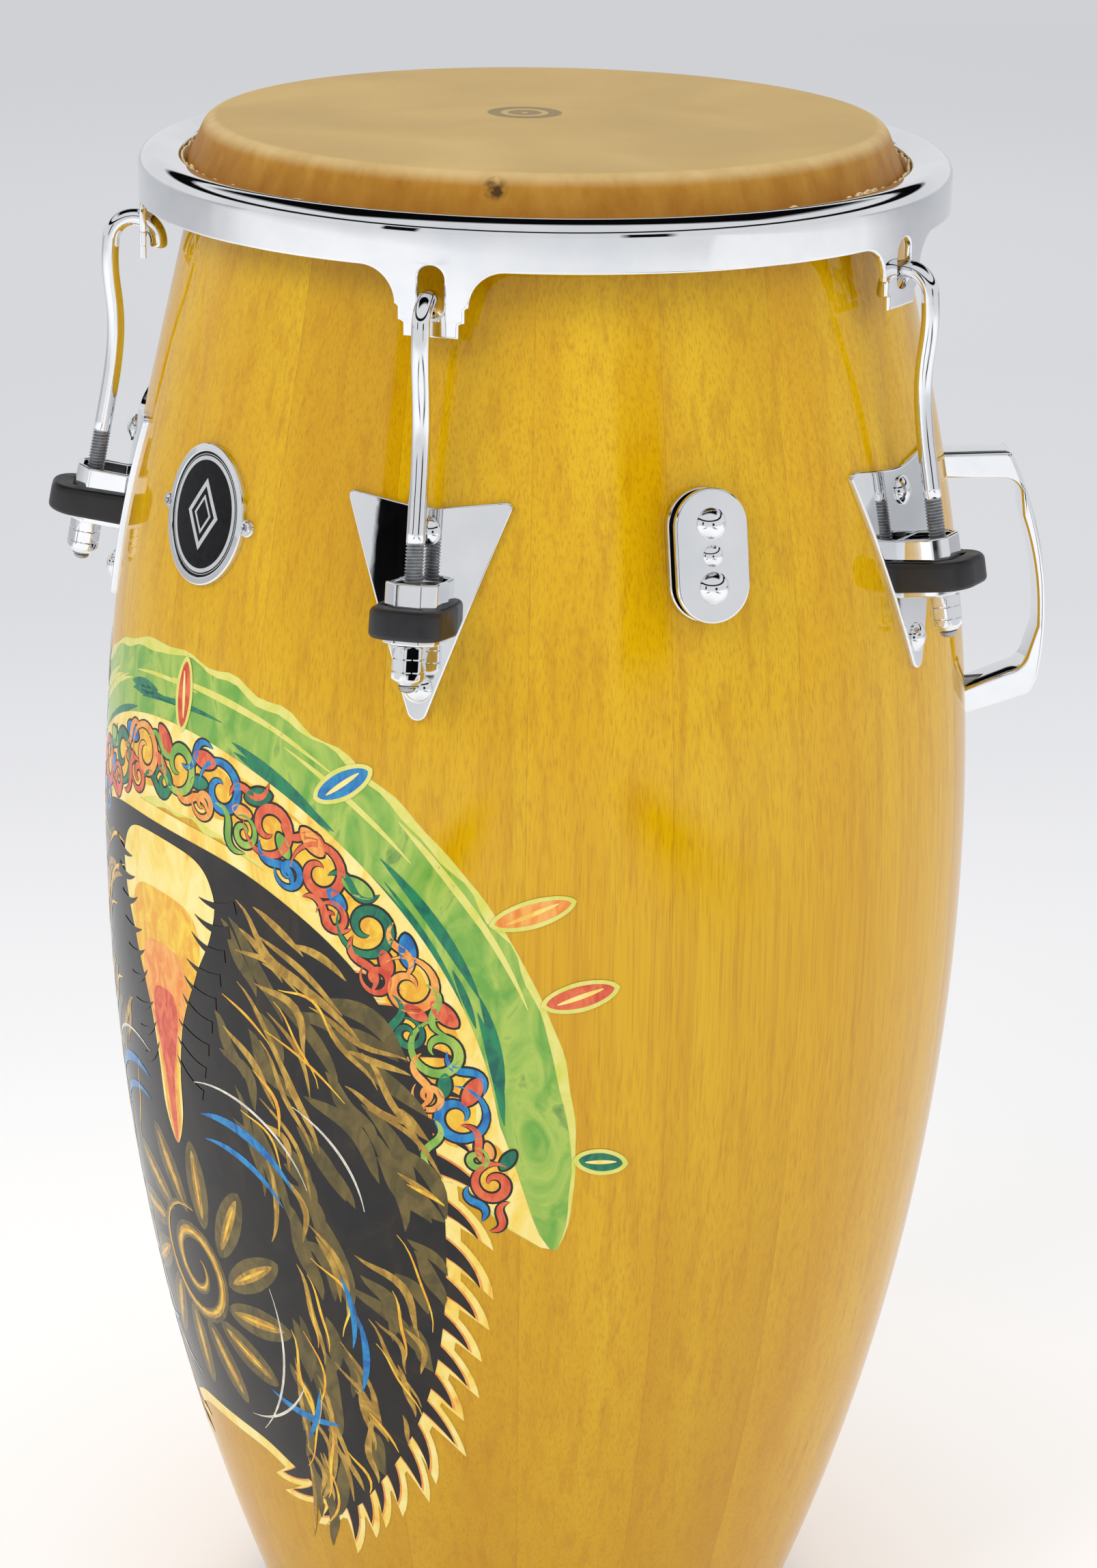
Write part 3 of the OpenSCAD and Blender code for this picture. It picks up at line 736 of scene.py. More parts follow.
def wander(azimuth, seed, waves=7, low=6, high=60):
    """A smooth random value, mostly between -1 and 1, that closes on itself round the drum."""
    chance = random.Random(seed)
    total = 0.0
    for _ in range(waves):
        total += math.sin(chance.randint(low, high) * azimuth + chance.uniform(0, math.tau))
    return total / math.sqrt(waves)


def pucker(obj):
    """Draws the collar in slight folds, which grow on their way down. The playing surface stays flat."""
    for v in obj.data.vertices:
        a = math.atan2(v.co.x, -v.co.y)
        r = math.hypot(v.co.x, v.co.y)
        drawn = min(max((SHELL_H * MM - v.co.z) / (FOLD_GROWTH * MM), 0), 1)
        fold = wander(a, 3) * drawn * FOLD_DEPTH * MM / max(r, MM)
        v.co.x += v.co.x * fold
        v.co.y += v.co.y * fold


HOOP, WRAP_R = (169.5, 737.6), 6.2
FRILL_IN, FRILL_OUT, FRILL_ROOT, FRILL_TOP = 163.1, 164.4, 739.0, 746.4
FRILL_STEPS = 720


def make_tuck():
    """The hide wrapped round its hoop, with the trimmed end standing up ragged inside the rim."""
    wrap = arc(HOOP, WRAP_R, 0, 350, 35)
    parts = [(lathe(wrap, 240), PALE_HIDE)]
    columns = []
    for k in range(FRILL_STEPS):
        az = 360 * k / FRILL_STEPS
        a = math.radians(az)
        top = FRILL_TOP + 0.9 * wander(a, 11, 9, 3, 24) + 0.7 * wander(a, 12, 9, 40, 130)
        sway = 0.25 * wander(a, 13, 7, 5, 50)
        inner, outer = FRILL_IN + sway, FRILL_OUT + sway * 0.4
        column = [(inner, FRILL_ROOT), (inner, top - 0.3), (inner + 0.35, top), (outer - 0.3, top - 0.1)]
        column += [(outer, top - 0.5), (outer, FRILL_ROOT)]
        columns.append([around(r, az, h) for r, h in column])
    parts.append((strip(columns + columns[:1]), PALE_HIDE))
    piece("hide_frill", parts, "crown", angle=60)


# ---------------------------------------------------------------- rim

SKIRT_TOP = RIM_CREST[1] - (RIM_R - RIM_CREST[0])
SECTOR = math.tau * RIM_R / 5
TAB_HALF = [
    (11.9, TAB_H), (11.9, TAB_H + 5.6), (13, TAB_H + 6.3), (14.4, TAB_H + 6.5),
    (14.4, TAB_H + 12), (15.2, TAB_H + 12.8), (16, TAB_H + 13),
]
TAB_FILLET = 15
SLOT_W, SLOT_LOW, SLOT_TOP = 11.35, 708.0, 730.0


def skirt_outline():
    """One fifth of the skirt, rolled flat, with its tab: (length round the rim, height)."""
    edge, tab_top = TAB_HALF[-1]
    root = edge + TAB_FILLET
    side = TAB_HALF + arc((root, tab_top), TAB_FILLET, 180, 90, 12)[1:] + [(root, SKIRT_H)]
    half = [p for k, p in enumerate(side) if k == 0 or (Vector(p) - Vector(side[k - 1])).length > 0.3]
    half += [(SECTOR / 2, SKIRT_H), (SECTOR / 2, SKIRT_TOP)]
    return half + [(-y, z) for y, z in reversed(half)]


def stays(point, inwards):
    """Keeps the skirt's ends and its top edge where the neighbouring pieces are welded on."""
    y = point[0] if abs(abs(point[0]) - SECTOR / 2) < 1e-6 else inwards[0]
    z = point[1] if abs(point[1] - SKIRT_TOP) < 1e-6 else inwards[1]
    return y, z


def skirt_sector(az):
    """A fifth of the skirt, with its tab and slot, open where it is welded."""
    slot_mid = (SLOT_LOW + SLOT_TOP) / 2
    slot = [(y, z + slot_mid) for y, z in stadium(SLOT_W, SLOT_TOP - SLOT_LOW, 16)]
    flat = plate(skirt_outline(), 0, RIM_T, 0.9, holes=[slot], back_edge=0.5, pin=stays)
    verts, faces = refine(flat, 1, SECTOR / (RIM_SEGMENTS / 5))

    def welded(face):
        """True for a face in the plane of a weld."""
        ends = all(abs(abs(verts[k][1]) - SECTOR / 2) < 1e-4 for k in face)
        return ends or all(abs(verts[k][2] - SKIRT_TOP) < 1e-4 for k in face)

    kept = [face for face in faces if not welded(face)]
    return [around(RIM_R - RIM_T + x, az + 72 * y / SECTOR, z) for x, y, z in verts], kept


def make_rim():
    """The curved steel rim: a pressed crest and rolled lip over a skirt with five tabs."""
    round_r = RIM_R - RIM_CREST[0]
    round_c = (RIM_CREST[0], SKIRT_TOP)
    lip_c = (RIM_INNER_R + RIM_LIP_R, RIM_H)
    profile = arc(round_c, round_r, 0, 90, 12) + arc(lip_c, RIM_LIP_R, 104, 270, 12)
    profile += arc(round_c, round_r - RIM_T, 90, 0, 8)
    crest = lathe(profile, RIM_SEGMENTS, loop=False, start=lug_az(1))
    sectors = [skirt_sector(lug_az(i)) for i in LUGS]
    chromed("rim", [joined(crest, *sectors)], ["crown"], "crown", angle=38)


# ---------------------------------------------------------------- hooks and nuts

HOOK_IN_R, HOOK_OUT_R, HOOK_H, HOOK_TIP = 175.2, 196.7, 706.1, 1.5
NUT_AF, NUT_LEN, NUT_TOP = 12.7, 16.3, -27.2
BOW_STEPS, BOW_END_Z = 24, 36
THREAD_FROM_H, THREAD_DEPTH = 618.6, 0.8


def rod_point(z):
    """The tuning rod's axis at z in the lug's frame, as (radius, height)."""
    t = math.radians(LEAN)
    return (
        shell_r(SEAT_H) + ROD_X * math.cos(t) - z * math.sin(t),
        SEAT_H + ROD_X * math.sin(t) + z * math.cos(t),
    )


def hook_path():
    """Points down the hook's middle, over the tab and down the bowed leg, then down its thread."""
    ring = (HOOK_OUT_R - HOOK_IN_R) / 2
    path = [(HOOK_IN_R, HOOK_H - HOOK_TIP)] + arc((HOOK_IN_R + ring, HOOK_H), ring, 180, 0, 28)
    start, meet = Vector((HOOK_OUT_R, HOOK_H)), Vector(rod_point(BOW_END_Z))
    lean = (meet - Vector(rod_point(0))).normalized()
    pulls = (start, start + Vector((2.8, -24)), meet + lean * 42, meet)
    for k in range(1, BOW_STEPS + 1):
        t = k / BOW_STEPS
        weights = ((1 - t) ** 3, 3 * t * (1 - t) ** 2, 3 * t * t * (1 - t), t**3)
        path.append(tuple(sum((p * w for p, w in zip(pulls, weights)), Vector((0, 0)))))
    thread_z = (THREAD_FROM_H - rod_point(0)[1]) / math.cos(math.radians(LEAN))
    rod_end = NUT_TOP - NUT_LEN - 1.5
    path += [rod_point(z) for z in reversed(spaced(thread_z, BOW_END_Z, 4)[:-1])]
    return path, [rod_point(z) for z in reversed(spaced(rod_end, thread_z, PITCH / 10))]


def make_hook(i):
    """One hook, bent from rod and threaded at its lower end."""
    bend, threaded = hook_path()

    def plain(s, t):
        """The rod's radius above the thread."""
        return ROD_R

    def ridged(s, t):
        """The radius at length s and angle t along the thread."""
        start = min(s / 1.2, 1)
        wave = abs(((s / PITCH - t / math.tau) % 1) * 2 - 1)
        return ROD_R - start * THREAD_DEPTH * (1 - min(wave * 1.25, 1))

    m = frame_of(lug_az(i), 0, 0)
    parts = [(moved(m, tube(bend, plain)), CHROME), (moved(m, tube(threaded, ridged)), ZINC)]
    piece(f"hook_{i}_rod", parts, f"hook_{i}", [f"tuning_hook_{i}"], angle=50)


def make_nut(i):
    """One long hexagon nut with two turned grooves and a coned lower end."""
    body_r, nose_r, nose_h, groove_r = 7.2, 4.6, 2.6, 6.0
    cone = [(z, nose_r + (body_r - nose_r) * z / nose_h) for z in spaced(0, nose_h, 0.4)]
    groove = [(-0.42, body_r), (-0.3, 6.9), (-0.25, groove_r), (0.25, groove_r), (0.3, 6.9), (0.42, body_r)]
    levels = [(0, 4.05)] + cone
    for k in (1, 2):
        levels += [(k * NUT_LEN / 3 + dz, r) for dz, r in groove]
    levels += [(NUT_LEN - z, r) for z, r in ((0.9, body_r), (0.5, 7.0), (0.15, 6.5), (0, 6.0), (0, 4.05))]
    turns = [60 * k + t for k in range(6) for t in (-2, 0, 2, 10, 20, 30, 40, 50)]
    rings = []
    for z, cap in levels:
        ring = []
        for turn in turns:
            from_corner = abs((turn + 30) % 60 - 30)
            flat = NUT_AF / 2 / math.cos(math.radians(30 - from_corner))
            r, t = min(cap, flat), math.radians(turn)
            ring.append((ROD_X + r * math.cos(t), r * math.sin(t), NUT_TOP - NUT_LEN + z))
        rings.append(ring)
    chromed(f"nut_{i}_hex", [at_lug(i, strip(rings + rings[:1]))], [f"lug_nut_{i}"], f"nut_{i}", angle=42)


# ---------------------------------------------------------------- side plates, brackets, protectors

PLATE_W, PLATE_TOP, PLATE_DIP, PLATE_LOW = 73.5, 34.5, 5.8, -70.0
BRACKET_T, BRACKET_CUT, BRACKET_ROUND = 2.6, 5.5, 2.4
ROD_HOLE_R = 4.5


def make_side_plate(i):
    """A shield-shaped plate pressed to the shell's curve."""
    half = PLATE_W / 2
    points = [(0, PLATE_LOW), (half, PLATE_TOP), (0, PLATE_TOP - PLATE_DIP), (-half, PLATE_TOP)]
    outline = rounded(points, [4.5, 2.5, 60, 2.5], 10)
    m = on_shell(lug_az(i), SEAT_H)
    flat = plate(outline, -0.3, PLATE_T, 0.7)
    mesh = bent(flat, 3.0, lambda x, y, z: hug(m, y, z, x))
    chromed(f"side_plate_{i}_sheet", [mesh], [f"side_plate_{i}"], angle=38)


def bracket_loop(back, front, half, cut, end, radius):
    """The bracket's outline seen from above, from its back to its chamfered front."""
    points = [(back, -half), (front - cut, -half), (front, -end)]
    points += [(x, -y) for x, y in reversed(points)]
    return rounded(points, [0, radius, radius, radius, radius, 0], 5)


def make_bracket(i):
    """A cup-shaped bracket, open at the top, with the rod's hole through its floor."""
    outer = bracket_loop(1.0, BRACKET_X, BRACKET_W / 2, BRACKET_CUT, BRACKET_CUT, BRACKET_ROUND)
    inner = bracket_loop(3.0, BRACKET_X - BRACKET_T, BRACKET_W / 2 - BRACKET_T, 4.6, 4.8, 1.2)
    hole = [(ROD_X + x, y) for x, y in ellipse(2 * ROD_HOLE_R, 2 * ROD_HOLE_R, 32)]
    edge, floor = 0.8, BRACKET_LOW + 3
    turns = [math.radians(a) for a in (0, 30, 60, 90)]
    rounding = [(edge * (1 - math.sin(t)), edge * (1 - math.cos(t))) for t in turns]
    rings = [at_height(inset(outer, edge + HOLD), BRACKET_LOW)]
    rings += [at_height(inset(outer, d), BRACKET_LOW + z) for d, z in rounding]
    rings += [at_height(outer, z) for z in (BRACKET_LOW + edge + HOLD, BRACKET_TOP - edge - HOLD)]
    rings += [at_height(inset(outer, z), BRACKET_TOP - d) for d, z in rounding]
    rings += [at_height(inset(inner, -d), BRACKET_TOP - z) for d, z in rounding]
    rings += [at_height(inner, z) for z in (BRACKET_TOP - edge - HOLD, floor + HOLD, floor)]
    below = lid(BRACKET_LOW, inset(outer, edge + HOLD), hole)
    above = lid(floor, inner, hole)
    bore = strip([at_height(hole, BRACKET_LOW), at_height(hole, floor)])
    mesh = joined(strip(rings), below, above, bore)
    chromed(f"bracket_{i}_cup", [at_lug(i, mesh)], [f"lug_bracket_{i}"], angle=38)


def make_protector(i):
    """A thick rubber bumper round the lower part of the bracket."""
    half, front, low, top = 15.75, 35.4, -24.0, -10.0
    outline = rounded([(1, -half), (front, -half), (front, half), (1, half)], [0, 12, 12, 0], 14)
    cup = bracket_loop(1.8, BRACKET_X, BRACKET_W / 2, BRACKET_CUT, BRACKET_CUT, BRACKET_ROUND)
    hole = inset(cup, 0.15)
    verts, faces = upright(plate(outline, low, top, 2.8, holes=[hole], back_edge=2.2, steps=6))
    sloped = [(x, y, z - (0.05 * max(x - 6, 0) if z > -17 else 0)) for x, y, z in verts]
    parts = [(at_lug(i, (sloped, faces)), BLACK_RUBBER)]
    piece(f"protector_{i}_rubber", parts, "shell", [f"shell_protector_{i}"], angle=50)


# ---------------------------------------------------------------- bolts

BOLT_R, BOLT_HEAD_R, BOLT_HEAD_H, BOLT_FLANGE = 3.175, 6.5, 3.6, 0.8
INNER_SEAT, WASHER_T, INNER_NUT_T, BOLT_END = 0.5, 1.6, 5.5, 2.0
BOLT_TAIL = WALL * math.cos(math.radians(LEAN)) + INNER_SEAT + WASHER_T + INNER_NUT_T + BOLT_END
BOLT_H = (619.0, 554.0)


def head_profile(seat, r, h, flange):
    """A domed head with a low flange, standing on seat: (radius, x)."""
    crown_r = r - flange
    base = 0.9 if flange else 0.25
    ball = (crown_r**2 + (h - base) ** 2) / (2 * (h - base))
    start = math.degrees(math.acos(min(crown_r / ball, 1)))
    dome = arc((0, seat + h - ball), ball, start, 90, 12)
    rim = [(r - 0.05, seat)] + arc((r - 0.3, seat + base - 0.35), 0.3, 0, 80, 4)
    return rim + dome[:-1] + [(0, seat + h)]


def bolt_mesh(seat, r, h, flange, tail, shank=BOLT_R):
    """A through bolt: tail, shank and domed head."""
    profile = [(0, -tail), (shank - 0.35, -tail), (shank, 0.35 - tail), (shank, seat)]
    return turned(profile + head_profile(seat, r, h, flange), 48)


def make_side_plate_bolts():
    """Two through bolts for each side plate."""
    parts = []
    for i in LUGS:
        for h in BOLT_H:
            mesh = bolt_mesh(PLATE_T - 0.05, BOLT_HEAD_R, BOLT_HEAD_H, BOLT_FLANGE, BOLT_TAIL)
            parts.append(moved(on_shell(lug_az(i), h, shell_lean(h)), mesh))
    chromed("side_plate_bolt_set", parts, ["side_plate_bolts"], angle=38)


# ---------------------------------------------------------------- handle

HANDLE_W, HANDLE_REACH = 20.0, 240.3
HANDLE_TOP, HANDLE_LOW, ARM_T = (219.0, 611.0), (235.2, 492.4), 13.0
GRIP_H, GRIP_T, GRIP_OUT_R, GRIP_IN_R = 526.0, 3.6, 183.0, 150.0


def make_handle():
    """The cast side handle, drawn from the side as (radius, height)."""

    def face(h):
        """A point on the grip's bowed outer face."""
        return HANDLE_REACH - drop(GRIP_OUT_R, h - GRIP_H), h

    def palm(h):
        """A point on the grip's bowed inner face."""
        return HANDLE_REACH - GRIP_T - drop(GRIP_IN_R, h - GRIP_H), h

    root = 2.0
    outside = [face(h) for h in spaced(500, 609, 6)]
    inside = [palm(h) for h in spaced(GRIP_H, 580, 6)]
    low_root, top_root = 481.0, HANDLE_TOP[1] - 1
    outline = [(shell_r(low_root) - root, low_root)]
    outline += corner((shell_r(low_root), low_root), HANDLE_LOW, outside[0], 5, 6)
    outline += outside
    outline += corner(outside[-1], HANDLE_TOP, (190, top_root), 3.5, 6)
    outline.append((shell_r(top_root) - root, top_root))
    outline.append((shell_r(top_root - ARM_T) - root, HANDLE_TOP[1] - ARM_T))
    outline += corner((190, 598), (223.6, 598), palm(570), 9, 8)
    outline += inside[::-1]
    outline += corner(palm(530), (231.5, 504.8), (190, 497.3), 11, 8)
    outline += [(shell_r(low_root + ARM_T) - root, low_root + ARM_T)]
    mesh = sideways(plate(outline, -HANDLE_W / 2, HANDLE_W / 2, 1.6, back_edge=1.6, steps=4))
    chromed("handle_casting", [moved(frame_of(HANDLE_AZ, 0, 0), mesh)], ["handle"], angle=38)


# ---------------------------------------------------------------- stand mount

MOUNT_H, MOUNT_W, MOUNT_L = 609.5, 33.0, 57.0
MOUNT_BACK, MOUNT_FRONT, MOUNT_FACE = 3.1, 8.5, 11.2
MOUNT_BOLT_Z, SPACER_INSET = 13.45, 13


def make_mount():
    """Two oval plates held apart for the stand's fork, with bolts and a rivet through them."""
    m = on_shell(MOUNT_AZ, MOUNT_H)
    back = plate(stadium(MOUNT_W, MOUNT_L, 40), 0.05, MOUNT_BACK, 0.7)
    front = plate(stadium(MOUNT_W, MOUNT_L, 40), MOUNT_FRONT, MOUNT_FACE, 0.9, back_edge=0.4, steps=4)
    inner = stadium(MOUNT_W - SPACER_INSET, MOUNT_L - SPACER_INSET, 24)
    spacer = plate(inner, MOUNT_BACK - 0.1, MOUNT_FRONT + 0.1, 0, hold=0)
    chromed("mount_back_sheet", [moved(m, back)], ["mount_back_plate"])
    chromed("mount_front_sheet", [moved(m, front)], ["mount_front_plate"])
    piece("mount_spacer_block", [(moved(m, spacer), PLASTIC)], "shell", ["mount_spacer"])
    bolts = []
    for z in (-MOUNT_BOLT_Z, MOUNT_BOLT_Z):
        mesh = bolt_mesh(MOUNT_FACE - 0.05, 6.75, 4.6, 0, BOLT_TAIL)
        bolts.append(moved(m @ Matrix.Translation((0, 0, z)), mesh))
    chromed("mount_bolt_set", bolts, ["mount_bolts"], angle=50)
    rivet = bolt_mesh(MOUNT_FACE - 0.05, 4.5, 2.4, 0, -0.4, shank=2.4)
    chromed("mount_rivet_head", [moved(m, rivet)], ["mount_rivet"], angle=50)


# ---------------------------------------------------------------- badge

BADGE_H, BADGE_W, BADGE_L = 608.0, 55.0, 62.0
BADGE_EAR_Y, BADGE_EAR_R = BADGE_W / 2 + 1.6, 3.8


def make_badge():
    """An oval badge on two ears: a bright rim round black enamel with a plain ring and lozenges."""
    m = on_shell(BADGE_AZ, BADGE_H)

    def pressed(flat):
        """Bent to the shell."""
        return bent(flat, 3.0, lambda x, y, z: hug(m, y, z, x))

    opening = ellipse(BADGE_W - 7.2, BADGE_L - 7.2)
    metal = [pressed(plate(ellipse(BADGE_W, BADGE_L), -0.2, 2.6, 0.5, holes=[opening]))]
    for s in (-1, 1):
        ear = ellipse(2 * BADGE_EAR_R, 2 * BADGE_EAR_R, 40)
        ear = [(y + s * BADGE_EAR_Y, z) for y, z in ear]
        metal.append(pressed(plate(ear, -0.2, 1.5, 0.6)))
    chromed("badge_frame", metal, ["badge_plate"], angle=38)

    field = pressed(plate(ellipse(BADGE_W - 6.6, BADGE_L - 6.6), -0.1, 1.75, 0, hold=0))
    ring = pressed(plate(ellipse(44, 51), 1.5, 2.0, 0.12, holes=[ellipse(40.4, 47.4)], hold=0.1))
    line = pressed(plate(ellipse(45.8, 52.8), 1.5, 1.9, 0.08, holes=[ellipse(45.2, 52.2)], hold=0.05))
    motif = []
    for size in (11.0, 6.0):
        rhomb = [(size, 0), (0, size * 1.45), (-size, 0), (0, -size * 1.45)]
        hole = [(y * 0.78, z * 0.78) for y, z in rhomb]
        motif.append((pressed(plate(rhomb, 1.5, 2.0, 0.12, holes=[hole], hold=0.1)), SILVER))
    parts = [(field, ENAMEL), (ring, SILVER), (line, SILVER), *motif]
    piece("badge_face", parts, "shell", ["badge_inlay"])
    make_badge_screws()


def make_badge_screws():
    """Two small cross-recess screws through the badge's ears."""
    arm, reach = 0.42, 1.75
    cross = [(reach, arm), (arm, arm), (arm, reach), (-arm, reach), (-arm, arm), (-reach, arm)]
    cross += [(-y, -z) for y, z in cross]
    parts = []
    for s in (-1, 1):
        turn = math.degrees(s * BADGE_EAR_Y / shell_r(BADGE_H))
        m = frame_of(BADGE_AZ + turn, shell_r(BADGE_H), BADGE_H, LEAN)
        m = m @ Matrix.Rotation(math.radians(25 * s), 4, "X")
        head = plate(ellipse(5.8, 5.8, 40), 1.2, 2.7, 1.1, holes=[cross], steps=5, hold=0.05)
        floor = plate(ellipse(4.2, 4.2, 24), 1.0, 1.7, 0, hold=0)
        shank = turned([(0, -9), (0.6, -9), (1.5, -7), (1.5, 1.3), (0, 1.3)], 24)
        parts += [(moved(m, head), CHROME), (moved(m, floor), ZINC), (moved(m, shank), ZINC)]
    piece("badge_screw_set", parts, "shell", ["badge_screws"], angle=38)


# ---------------------------------------------------------------- painted decoration
#
# A free pattern of this script's own: a green and cream crescent with curls over a dark field of
# flame strokes. It is drawn flat as (length round the belly from ART_AZ, height).

ART_AZ = BADGE_AZ
ARCH_C, ARCH_W, ARCH_H = (-4.0, 335.0), 203.0, 208.0
PAINT_T, PAINT_GRID = 0.04, 7.0


def on_wood(lift, u, v):
    """The painted point u round the belly and v up, lift in front of the lacquer."""
    return around(shell_r(v) + lift, ART_AZ + math.degrees(u / BELLY_R), v)


def painted(outlines, layer):
    """Thin closed patches on one layer of paint."""
    lift = 0.06 + 0.045 * layer
    return joined(*[
        bent(plate(loop, lift - PAINT_T, lift, 0, hold=0), PAINT_GRID, on_wood) for loop in outlines
    ])


def paint(name, scale, *tones):
    """Lacquered brushwork between two or three colours."""
    f = Finish(f"paint_{name}", Coat_Weight=0.8, Coat_Roughness=0.035, Specular_IOR_Level=0.0)
    brush = f.noise(f.stretched((1, 1, 0.55), rotation=(0.5, 0.2, 0)), scale, detail=5, distortion=1.2)
    f.set("Base Color", f.ramp(brush, *zip((0.36, 0.60, 0.74), tones)))
    f.set("Roughness", f.span(brush, 0, 1, 0.4, 0.6))
    return f.material


PAINTS = {
    name: paint(name, scale, *tones)
    for name, scale, *tones in (
        ("lime", 90, (206, 206, 84), (222, 214, 120)),
        ("green", 60, (104, 160, 62), (166, 190, 84), (58, 120, 60)),
        ("teal", 130, (16, 92, 78), (34, 128, 84)),
        ("cream", 60, (242, 226, 150), (238, 206, 92), (230, 160, 60)),
        ("yellow", 140, (238, 200, 62), (226, 160, 40)),
        ("orange", 160, (226, 128, 44), (236, 168, 84)),
        ("red", 160, (196, 62, 40), (222, 108, 66)),
        ("blue", 160, (20, 92, 160), (40, 136, 190)),
        ("ink", 60, (14, 13, 14), (30, 24, 20), (44, 36, 22)),
        ("gold", 150, (196, 156, 64), (148, 112, 40)),
        ("olive", 110, (78, 68, 32), (108, 92, 44)),
        ("pale", 150, (232, 224, 206), (196, 190, 176)),
    )
}


def artwork(name, *layers):
    """One piece of the decoration, from (outlines, layer, colour)."""
    parts = [(painted(outlines, layer), PAINTS[colour]) for outlines, layer, colour in layers]
    piece(name, parts, "shell")


def curve(points, closed=False):
    """A smooth curve through the points."""
    steps, count = 8, len(points)
    out = []
    for k in range(count if closed else count - 1):
        near = [k + j if closed else min(max(k + j, 0), count - 1) for j in (-1, 0, 1, 2)]
        p = [Vector(points[j % count]) for j in near]
        for step in range(steps):
            t = step / steps
            a = 2 * p[1] + (p[2] - p[0]) * t
            b = (2 * p[0] - 5 * p[1] + 4 * p[2] - p[3]) * t * t
            c = (3 * p[1] - p[0] - 3 * p[2] + p[3]) * t**3
            out.append(tuple((a + b + c) / 2))
    return out if closed else out + [tuple(points[-1])]


def stroke(path, half_width):
    """An outline along a path; half_width is a function of the share of the path's points passed."""
    left, right = [], []
    for k, (p, way) in enumerate(zip(path, directions(path))):
        half = half_width(k / (len(path) - 1))
        left.append((p[0] - way.y * half, p[1] + way.x * half))
        right.append((p[0] + way.y * half, p[1] - way.x * half))
    return right + left[::-1]


def ribbon(path, width, tip=0.35):
    """A brush stroke along a path, full in the middle and pointed at its ends."""
    return stroke(path, lambda t: max(width / 2 * math.sin(math.pi * t) ** 0.7 if t < 1 else 0, tip / 2))


def tongue(path, width):
    """A flame: full at its root and pointed at its end."""
    return stroke(path, lambda t: max(width / 2 * (1 - t) ** 0.75, 0.15))


def onward(p, heading, distance):
    """The point at a distance from p, in a direction in degrees."""
    a = math.radians(heading)
    return (p[0] + distance * math.cos(a), p[1] + distance * math.sin(a))


def lock(start, heading, length, turn, n=10, sway=0.0):
    """A curved path from a point: heading and turn in degrees, swaying once on its way."""
    path, angle = [tuple(start)], heading
    for k in range(n):
        angle += turn / n + sway * math.cos(math.tau * k / n)
        path.append(onward(path[-1], angle, length / n))
    return path


def leaf_shape(c, length, width, heading):
    """A pointed leaf."""
    ends = [onward(c, heading, -s * length / 2) for s in (1, 0, -1)]
    return ribbon(curve(ends), width, 0.5)


def arch(phi, depth):
    """A point on the crescent: phi round its ellipse in degrees, depth inwards from its edge."""
    t = math.radians(phi)
    return ARCH_C[0] + (ARCH_W - depth) * math.cos(t), ARCH_C[1] + (ARCH_H - depth) * math.sin(t)


ARCH_FROM, ARCH_TO = -11.0, 191.0


def arch_width(phi):
    """The crescent narrows to rounded ends."""
    along = (phi - ARCH_FROM) / (ARCH_TO - ARCH_FROM)
    return 68 * min(1.0, math.sin(math.pi * along) * 3.4 + 0.02) ** 0.5


def arch_band(outer, inner, rough, seed):
    """A band of the crescent between two shares of its width, 0 outside and 1 inside."""
    outside, inside = [], []
    for k in range(111):
        phi = ARCH_FROM + (ARCH_TO - ARCH_FROM) * k / 110
        w = arch_width(phi)
        wave = rough * wander(math.radians(phi), seed, 8, 8, 46)
        outside.append(arch(phi, outer * w - (wave if outer <= 0 else 0)))
        inside.append(arch(phi, inner * w + wave))
    return outside + inside[::-1]


def arch_streaks(count, low, high, width, seed):
    """Long strokes along the crescent, between two shares of its width."""
    chance = random.Random(seed)
    out = []
    for _ in range(count):
        phi, span = chance.uniform(2, 165), chance.uniform(9, 26)
        share, drift = chance.uniform(low, high), chance.uniform(-0.06, 0.06)
        path = []
        for k in range(12):
            at = phi + span * k / 11
            path.append(arch(at, (share + drift * k / 11) * arch_width(at)))
        out.append(ribbon(path, chance.uniform(0.6, 1.2) * width))
    return out


def curl(c, heading, size, turns, hand, width):
    """A spiral brush stroke."""
    path = []
    n = int(26 * turns)
    for k in range(n + 1):
        t = k / n
        a = math.radians(heading) + hand * math.tau * turns * t
        r = size * (1 - 0.78 * t)
        path.append((c[0] + r * math.cos(a), c[1] + r * math.sin(a)))
    return ribbon(path, width)


def wave_stroke(c, heading, length, bend, width):
    """An S-shaped brush stroke."""
    path = [onward(c, heading, -length / 2)]
    for k in range(16):
        path.append(onward(path[-1], heading + bend * math.cos(math.tau * k / 16), length / 16))
    return ribbon(path, width)


FIELD_MID = -15.0
FIELD_SIDE = [
    (35, 462), (80, 450), (118, 424), (143, 384), (156, 334), (158, 278), (152, 230),
    (138, 190), (116, 156), (90, 132), (60, 144), (28, 156),
]


def field_loop(grow=0.0):
    """The dark field's plain outline, anticlockwise, grown outwards."""
    right = [(FIELD_MID + u, v) for u, v in FIELD_SIDE]
    left = [(FIELD_MID - u, v) for u, v in FIELD_SIDE]
    loop = curve(right[::-1] + left, closed=True)
    return inset(loop, -grow) if grow else loop


